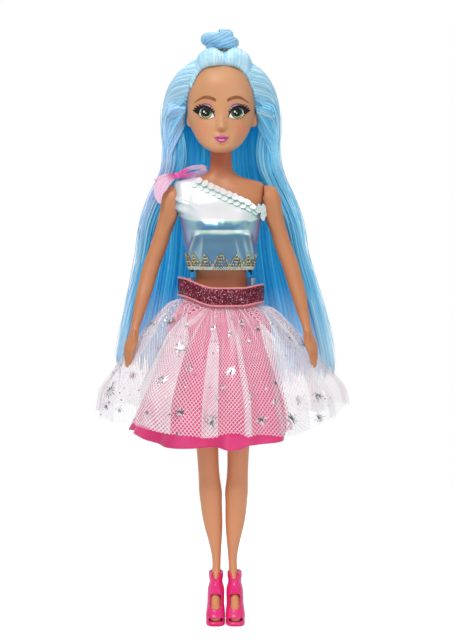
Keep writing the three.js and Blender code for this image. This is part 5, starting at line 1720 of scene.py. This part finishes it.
def make_tapes_and_clip():
    tape = woven_tape()
    for side, word in ((1, "left"), (-1, "right")):
        around = hem_path(-0.4)

        def point_at(u, v):
            share = mix(1.0, 0.925, u) if side > 0 else mix(0.575, 0.5, u)
            low = 175.2 + 2.2 * u if side > 0 else 177.0
            return around(share, mix(low, 183.0, v), 0.0)[0]

        piece = cloth_grid(f"tape_{word}", 8, 10, point_at)
        face_outwards(thicken(piece, 0.5, 0.0))
        coat(piece, tape, "torso", "tape", (f"top_tape_{word}",))

    def clip_at(u, v):
        t = mix(-0.18, 1.18, u) * math.pi
        c, s = math.cos(t), math.sin(t)
        return place(17.0 * squared(c, 2 / 0.7), -0.6 + 11.0 * max(s, -0.4), mix(169.6, 173.9, v))

    clip = cloth_grid("waist_clip_strip", 60, 4, clip_at)
    thicken(clip, 0.7, 0.0)
    coat(shade(clip, 35), clear_plastic(), "torso", "clear_clip", ("waist_clip",))


# ---- Skirts and waistband

BAND_HALF, BAND_DEPTH = 20.9, 17.1


def tilt(x, y):
    """The waistband rides up at the doll's right side."""
    return 4.8 * smooth(0.1, 1.0, -x / 21) ** 1.2 + 1.4 * smooth(0.5, 1.0, x / 21) - 3.0 - 0.07 * max(0, min(y, 17))


def make_waistband():
    def band_at(u, v):
        t = 2 * math.pi * u
        pucker = 0.22 * math.sin(23 * t + 4 * v) + 0.15 * math.sin(41 * t)
        bulge = 0.35 * math.sin(math.pi * v)
        x, y = (BAND_HALF + bulge + pucker * 0.5) * math.cos(t), (BAND_DEPTH + bulge + pucker * 0.5) * math.sin(t)
        return place(x, y, mix(163.9, 171.9, v) + tilt(x, y))

    band = cloth_grid("waistband_strip", 144, 8, band_at, True)
    thicken(band, 0.9, 0.0)
    coat(band, glitter(), "torso", "glitter_elastic", ("skirt_waistband",))
    finish = cord_cloth("pink_binding", "#E57E86", "#F09AA0")
    for word, level, grow in (("upper", 172.2, 0.3), ("lower", 163.5, 0.5)):
        rings = []
        for i in range(96):
            t = 2 * math.pi * i / 96
            rib = 1 + 0.06 * math.sin(48 * t)
            loop = []
            for k in range(10):
                a = 2 * math.pi * k / 10
                off = 0.55 * rib * math.cos(a)
                x, y = (BAND_HALF + grow + off) * math.cos(t), (BAND_DEPTH + grow + off) * math.sin(t)
                loop.append(place(x, y, level + 0.5 * rib * math.sin(a) + tilt(x, y)))
            rings.append(loop)
        coat(tube(f"piping_{word}", rings), finish, "torso", "piping", (f"waistband_piping_{word}",))


def tube(name, rings):
    """A closed ring tube."""
    sides = len(rings[0])
    obj = start_shape(bpy.ops.mesh.primitive_torus_add, name, major_segments=len(rings), minor_segments=sides)
    for i, v in enumerate(obj.data.vertices):
        v.co = rings[i // sides][i % sides]
    return shade(face_outwards(obj))


UNDER_ROWS = [[0, 0.465, 0.475, 0], [0.048, 0.465, 0.475, 0], [0.1, 0.53, 0.565, 0], [0.18, 0.605, 0.64, 0.1],
              [0.34, 0.66, 0.68, 0.3], [0.6, 0.79, 0.78, 0.65], [1, 1, 1, 1]]
OVER_ROWS = [[0, 0.322, 0.365, 0], [0.048, 0.322, 0.365, 0], [0.085, 0.42, 0.46, 0.25], [0.22, 0.56, 0.6, 0.5],
             [0.33, 0.655, 0.69, 0.6], [0.5, 0.785, 0.81, 0.75], [0.65, 0.9, 0.91, 0.85], [0.79, 0.98, 0.98, 0.95],
             [1, 1, 1, 1]]
SKIRT_TOP = 164.8
UNDER_HALF, UNDER_DEPTH, UNDER_HEM = 40, 31, 91.0
OVER_HALF, OVER_DEPTH, OVER_HEM = 60.5, 43, 98.0


def make_underskirt():
    read = reader(UNDER_ROWS)

    def point_at(u, drop):
        t = 2 * math.pi * u
        wide, deep, folds = read(drop)
        wave = folds * (1.6 * math.sin(9 * t + 0.6) + 0.9 * math.sin(5 * t - 1.1) + 0.5 * math.sin(17 * t))
        wave += 0.4 * math.sin(38 * t) * smooth(0.05, 0.14, drop) * (1 - smooth(0.2, 0.6, drop))
        x = (UNDER_HALF * wide + wave) * math.cos(t) - 5.0 * drop ** 1.6
        y = (UNDER_DEPTH * deep + wave) * math.sin(t)
        z = SKIRT_TOP - drop * (SKIRT_TOP - UNDER_HEM) + (1 - drop) * tilt(x, y) + 5 * math.cos(t) ** 2 * drop ** 3
        # A loose flap of the hem at the doll's left of the front
        flap = math.exp(-(((t - 5.0) / 0.16) ** 4))
        z += (0.9 * math.sin(4 * t + 1) - 1.6 * flap) * drop ** 2
        y -= 1.6 * flap * drop ** 4
        return place(x, y, z)

    skirt = cloth_grid("satin_skirt", 260, 64, point_at, True)
    thicken(skirt, 0.3, -1.0)
    face_outwards(skirt)
    coat(skirt, satin_cloth(), "torso", "satin", ("underskirt",))


# Where the tulle folds back on itself: turn, half width and which way it lies
TULLE_PLEATS = [(-2.72, 0.1, 1), (-2.14, 0.19, 1), (-1.66, 0.075, -1), (-1.36, 0.035, 1), (-0.92, 0.13, 1),
                (-0.42, 0.07, -1), (0.1, 0.09, 1), (0.65, 0.12, -1), (1.2, 0.1, 1), (1.75, 0.13, 1),
                (2.25, 0.09, -1), (2.85, 0.12, 1)]


def tulle_turn(u):
    """The turn of a point across the cloth, which runs back in each pleat, and its layer."""
    t = 2 * math.pi * (u - 0.5)
    turn, layer = t, 0.0
    for at, half, way in TULLE_PLEATS:
        reach = half * 1.9
        away = (t - at + math.pi) % (2 * math.pi) - math.pi
        if abs(away) < reach:
            turn = at + away - 1.75 * half * math.sin(math.pi * away / reach)
            layer = way * math.sin(math.pi / 2 * away / reach) * (1 - (away / reach) ** 4)
    return t, turn, layer


def make_overskirt():
    read = reader(OVER_ROWS)

    def point_at(u, drop):
        t, folded, layer = tulle_turn(u)
        wide, deep, folds = read(drop)
        turn = mix(t, folded, smooth(0.0, 0.35, drop))
        wave = folds * (1.7 * math.sin(9 * turn + 1.2) + 1.1 * math.sin(5 * turn - 0.5) + 0.6 * math.sin(17 * turn))
        wave += 1.3 * layer * smooth(0.0, 0.4, drop)
        gather = 0.6 * math.sin(61 * t) + 0.55 * math.sin(37 * t + 1)
        wave += gather * smooth(0.03, 0.09, drop) * (1 - smooth(0.14, 0.5, drop))
        wide += 0.02 * math.sin(math.pi * drop) + 0.035 * drop ** 4
        x = (OVER_HALF * wide + wave) * math.cos(turn)
        y = (OVER_DEPTH * deep + wave) * math.sin(turn)
        # The hem dips at the pleats
        hem = 1.3 * math.sin(3 * turn + 0.9) + 1.2 * math.sin(8 * turn + 0.4) - 2.2 * abs(layer)
        z = SKIRT_TOP + 0.6 - drop * (SKIRT_TOP - OVER_HEM) + (1 - drop) * tilt(x, y)
        z += 10 * math.cos(turn) ** 2 * drop ** 3
        return place(x, y, z + hem * drop ** 2)

    columns, rows = 620, 52
    net = cloth_grid("tulle_skirt", columns, rows, point_at)
    # The UV map is the flat cloth in metres
    hem = [point_at(i / columns, 0.8) for i in range(columns + 1)]
    across = np.concatenate([[0], np.cumsum([(b - a).length for a, b in zip(hem, hem[1:])])])
    side = [point_at(0.25, i / rows) for i in range(rows + 1)]
    down = np.concatenate([[0], np.cumsum([(b - a).length for a, b in zip(side, side[1:])])])
    for spot in net.data.uv_layers.active.data:
        u, v = spot.uv
        spot.uv = (np.interp(u * columns, range(columns + 1), across), np.interp(v * rows, range(rows + 1), down))
    edit_all(net, (bpy.ops.mesh.remove_doubles, {"threshold": 1e-6}))
    surface = tree_of(net)
    coat(net, net_cloth(), "torso", "tulle", ("overskirt",))
    return surface


# The middle of the front view, and the stars as they stand in it: across, up and radius
VIEW_ACROSS, VIEW_UP = 2.5, 152.55
FRONT_STARS = [
    (-25.1, 151.8, 3.8), (-20.5, 138.4, 3.9), (-30.1, 122.5, 3.2), (-56.0, 116.7, 4.2),
    (-20.5, 105.8, 4.0), (-5.0, 101.7, 4.4), (5.0, 126.7, 3.8), (10.8, 151.4, 3.9), (20.5, 102.1, 4.0),
    (35.5, 102.9, 4.0), (49.3, 103.3, 3.8), (48.9, 114.2, 3.6), (34.2, 143.9, 3.0), (-15.9, 128.4, 2.4),
    (-36.8, 105.8, 2.2), (-51.0, 107.5, 2.4), (-57.7, 109.2, 2.2), (-21.7, 95.0, 2.2),
    (4.2, 145.5, 2.2), (-4.2, 148.4, 2.0), (26.7, 110.9, 1.9), (22.5, 118.0, 1.4), (15.0, 114.2, 2.0),
    (39.3, 112.1, 2.0), (14.2, 141.8, 1.6), (-17.1, 150.1, 2.0), (18.4, 148.0, 1.8), (25.1, 150.5, 1.6),
    (-1.7, 113.4, 2.0), (1.2, 118.4, 1.6), (27.6, 120.9, 1.8),
]


def star_fan(spots, surface, centre, normal, radius, rays, spin):
    """A sunburst of thin rays laid on a surface."""
    side = normal.cross(Vector((0, 0, 1))).normalized()
    up = side.cross(normal).normalized()
    for k in range(rays):
        angle = spin + 2 * math.pi * k / rays
        long = radius * rng.uniform(0.6, 1.2) * MM
        ray = side * math.cos(angle) + up * math.sin(angle)
        cross = (side * -math.sin(angle) + up * math.cos(angle)) * (0.12 + 0.035 * radius) * MM
        line = [centre + cross * 0.4, centre + ray * long * 0.5 + cross, centre + ray * long,
                centre + ray * long * 0.5 - cross, centre - cross * 0.4]
        laid = []
        for point in line:
            hit, away, _, _ = surface.find_nearest(point)
            if away.dot(normal) < 0:
                away = -away
            laid.append(hit + away * 0.16 * MM)
        spots.append(laid)


def make_stars(surface):
    fans = []
    for x, z, radius in FRONT_STARS:
        # The spot the camera sees at that place of the view
        up = camera.matrix_world.to_3x3().col[1]
        aim = LOOK_AT + Vector(((x - VIEW_ACROSS) * MM, 0, 0)) + up * ((z - VIEW_UP) * MM)
        hit, normal, _, _ = surface.ray_cast(camera.location, (aim - camera.location).normalized())
        if hit is None:
            continue
        if normal.y > 0:
            normal = -normal
        star_fan(fans, surface, hit, normal, radius, 11 if radius > 3 else 8, rng.uniform(0, 1))
    for _ in range(190):
        angle, z = rng.uniform(0, 2 * math.pi), rng.uniform(103, 155)
        away = Vector((math.cos(angle), math.sin(angle), 0))
        small = away.y < -0.25
        hit, normal, _, _ = surface.ray_cast(place(0, 0, z) + away * 0.09, -away)
        if hit is None:
            continue
        if normal.dot(away) < 0:
            normal = -normal
        radius = rng.uniform(0.35, 0.8) if small else rng.choice((0.5, 0.6, 0.8, 2.1, 2.3, 3.7))
        star_fan(fans, surface, hit, normal, radius, 12 if radius > 2 else 6, rng.uniform(0, 1))
    points = [tuple(p) for fan in fans for p in fan]
    faces = [tuple(range(i * 5, i * 5 + 5)) for i in range(len(fans))]
    stars = thicken(show("foil_stars", mesh_of("foil_stars", points, faces)), 0.08, 0.0)
    coat(stars, silver_foil(), "torso", "tulle")


# ---- Shoes

# Rise, half width, front, back
SHOE_ROWS = [
    [0, 0.94, -0.97, -0.1], [0.012, 0.975, -1.0, -0.06], [0.07, 1.0, -1.03, -0.04], [0.1, 0.98, -1.01, -0.02],
    [0.115, 0.97, -0.99, 0.0], [0.16, 1.01, -1.02, 0.04], [0.24, 1.0, -1.0, 0.1], [0.33, 0.95, -0.9, 0.2],
    [0.42, 0.9, -0.82, 0.42], [0.52, 0.9, -0.7, 0.62], [0.62, 0.9, -0.56, 0.74], [0.7, 0.88, -0.44, 0.74],
    [0.78, 0.8, -0.32, 0.7], [0.84, 0.72, -0.24, 0.67], [0.9, 0.7, -0.2, 0.68], [0.97, 0.76, -0.17, 0.71],
    [1.04, 0.78, -0.15, 0.72], [1.09, 0.76, -0.13, 0.7],
]
SHOE_RISE, SHOE_HALF, SHOE_LENGTH, FOOT_SPREAD = 21.6, 4.8, 17.0, 4.98
HEEL_HEIGHT, HEEL_BACK = 14, 9.8
# The gap round the foot, and how many rows of the leg are in the shoe
FOOT_ROOM, FOOT_ROWS = 0.28, 13


def box_tool(x, y, z, size, bevel):
    tool = start_shape(bpy.ops.mesh.primitive_cube_add, size=1)
    for v in tool.data.vertices:
        v.co = place(x + v.co.x * size[0], y + v.co.y * size[1], z + v.co.z * size[2])
    return modify(tool, "BEVEL", width=bevel * MM, segments=6)


def egg_tool(x, y, z, radii):
    tool = start_shape(bpy.ops.mesh.primitive_uv_sphere_add, segments=40, ring_count=24, radius=1)
    for v in tool.data.vertices:
        v.co = place(x + v.co.x * radii[0], y + v.co.y * radii[1], z + v.co.z * radii[2])
    return tool


def make_shoe(side, word, finish):
    x = side * FOOT_SPREAD + LEG_LEAN
    inward = 0.2 if side < 0 else -0.3
    rings = []
    for rise, half, front, back in refine(SHOE_ROWS, 48):
        square = mix(2.9, 2.1, smooth(0.1, 0.7, rise))
        rings.append(ring(x + inward * smooth(0.2, 0.8, rise), max(rise, 0) * SHOE_RISE, half * SHOE_HALF,
                          front * SHOE_LENGTH, back * SHOE_LENGTH, square, 48))
    shoe = loft("shoe", rings)
    # The room for the foot, open at the top
    room = loft("room", leg_rings(side, FOOT_ROOM, refine(LEG_ROWS[:FOOT_ROWS], 28), 24))
    cut(shoe, room)
    # The opening over the instep, the slit at the toes and the dip of the cuff
    top_x = x + inward
    cut(shoe, box_tool(mix(x, top_x, 0.6), -12, 11.3, (5.3, 17.0, 6.9), 1.9))
    cut(shoe, box_tool(x + 0.2, -17.4, 3.4, (6.9, 11.0, 2.0), 0.9))
    cut(shoe, egg_tool(top_x, -5.0, 25.6, (3.1, 8.4, 5.4)))
    cut(shoe, egg_tool(top_x, 13.5, 25.6, (2.6, 5.0, 3.4)))
    # Heel block
    heel = start_shape(bpy.ops.mesh.primitive_cone_add, vertices=36, radius1=2.7 * MM, radius2=3.4 * MM,
                       depth=HEEL_HEIGHT * MM)
    for v in heel.data.vertices:
        rise = v.co.z / MM + HEEL_HEIGHT / 2
        top = smooth(0, 1, rise / HEEL_HEIGHT)
        v.co = place(x + v.co.x / MM, HEEL_BACK + v.co.y / MM, rise)
        v.co.y -= 0.9 * top * MM
    cut(shoe, heel, "UNION")
    shoe.name = shoe.data.name = f"shoe_{word}_moulding"
    shade(shoe, 38)
    coat(shoe, finish, f"leg_{word}", "shoe_plastic", (f"shoe_{word}",))


make_trims(make_top())
make_bow()
make_tapes_and_clip()
make_waistband()
make_underskirt()
make_stars(make_overskirt())
pvc = shoe_plastic()
for side, word in ((1, "left"), (-1, "right")):
    make_shoe(side, word, pvc)


# Moulded nylon that holds the doll together, out of sight
inner = two_tone("inner_nylon", 300, (0.3, "#CDBDA8"), (0.7, "#DCCDBA"), values={"Roughness": 0.55})[0]
for name in ("shoulder_axle", "hip_axle", "neck_knob"):
    dress(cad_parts[name], inner)

bpy.context.view_layer.update()
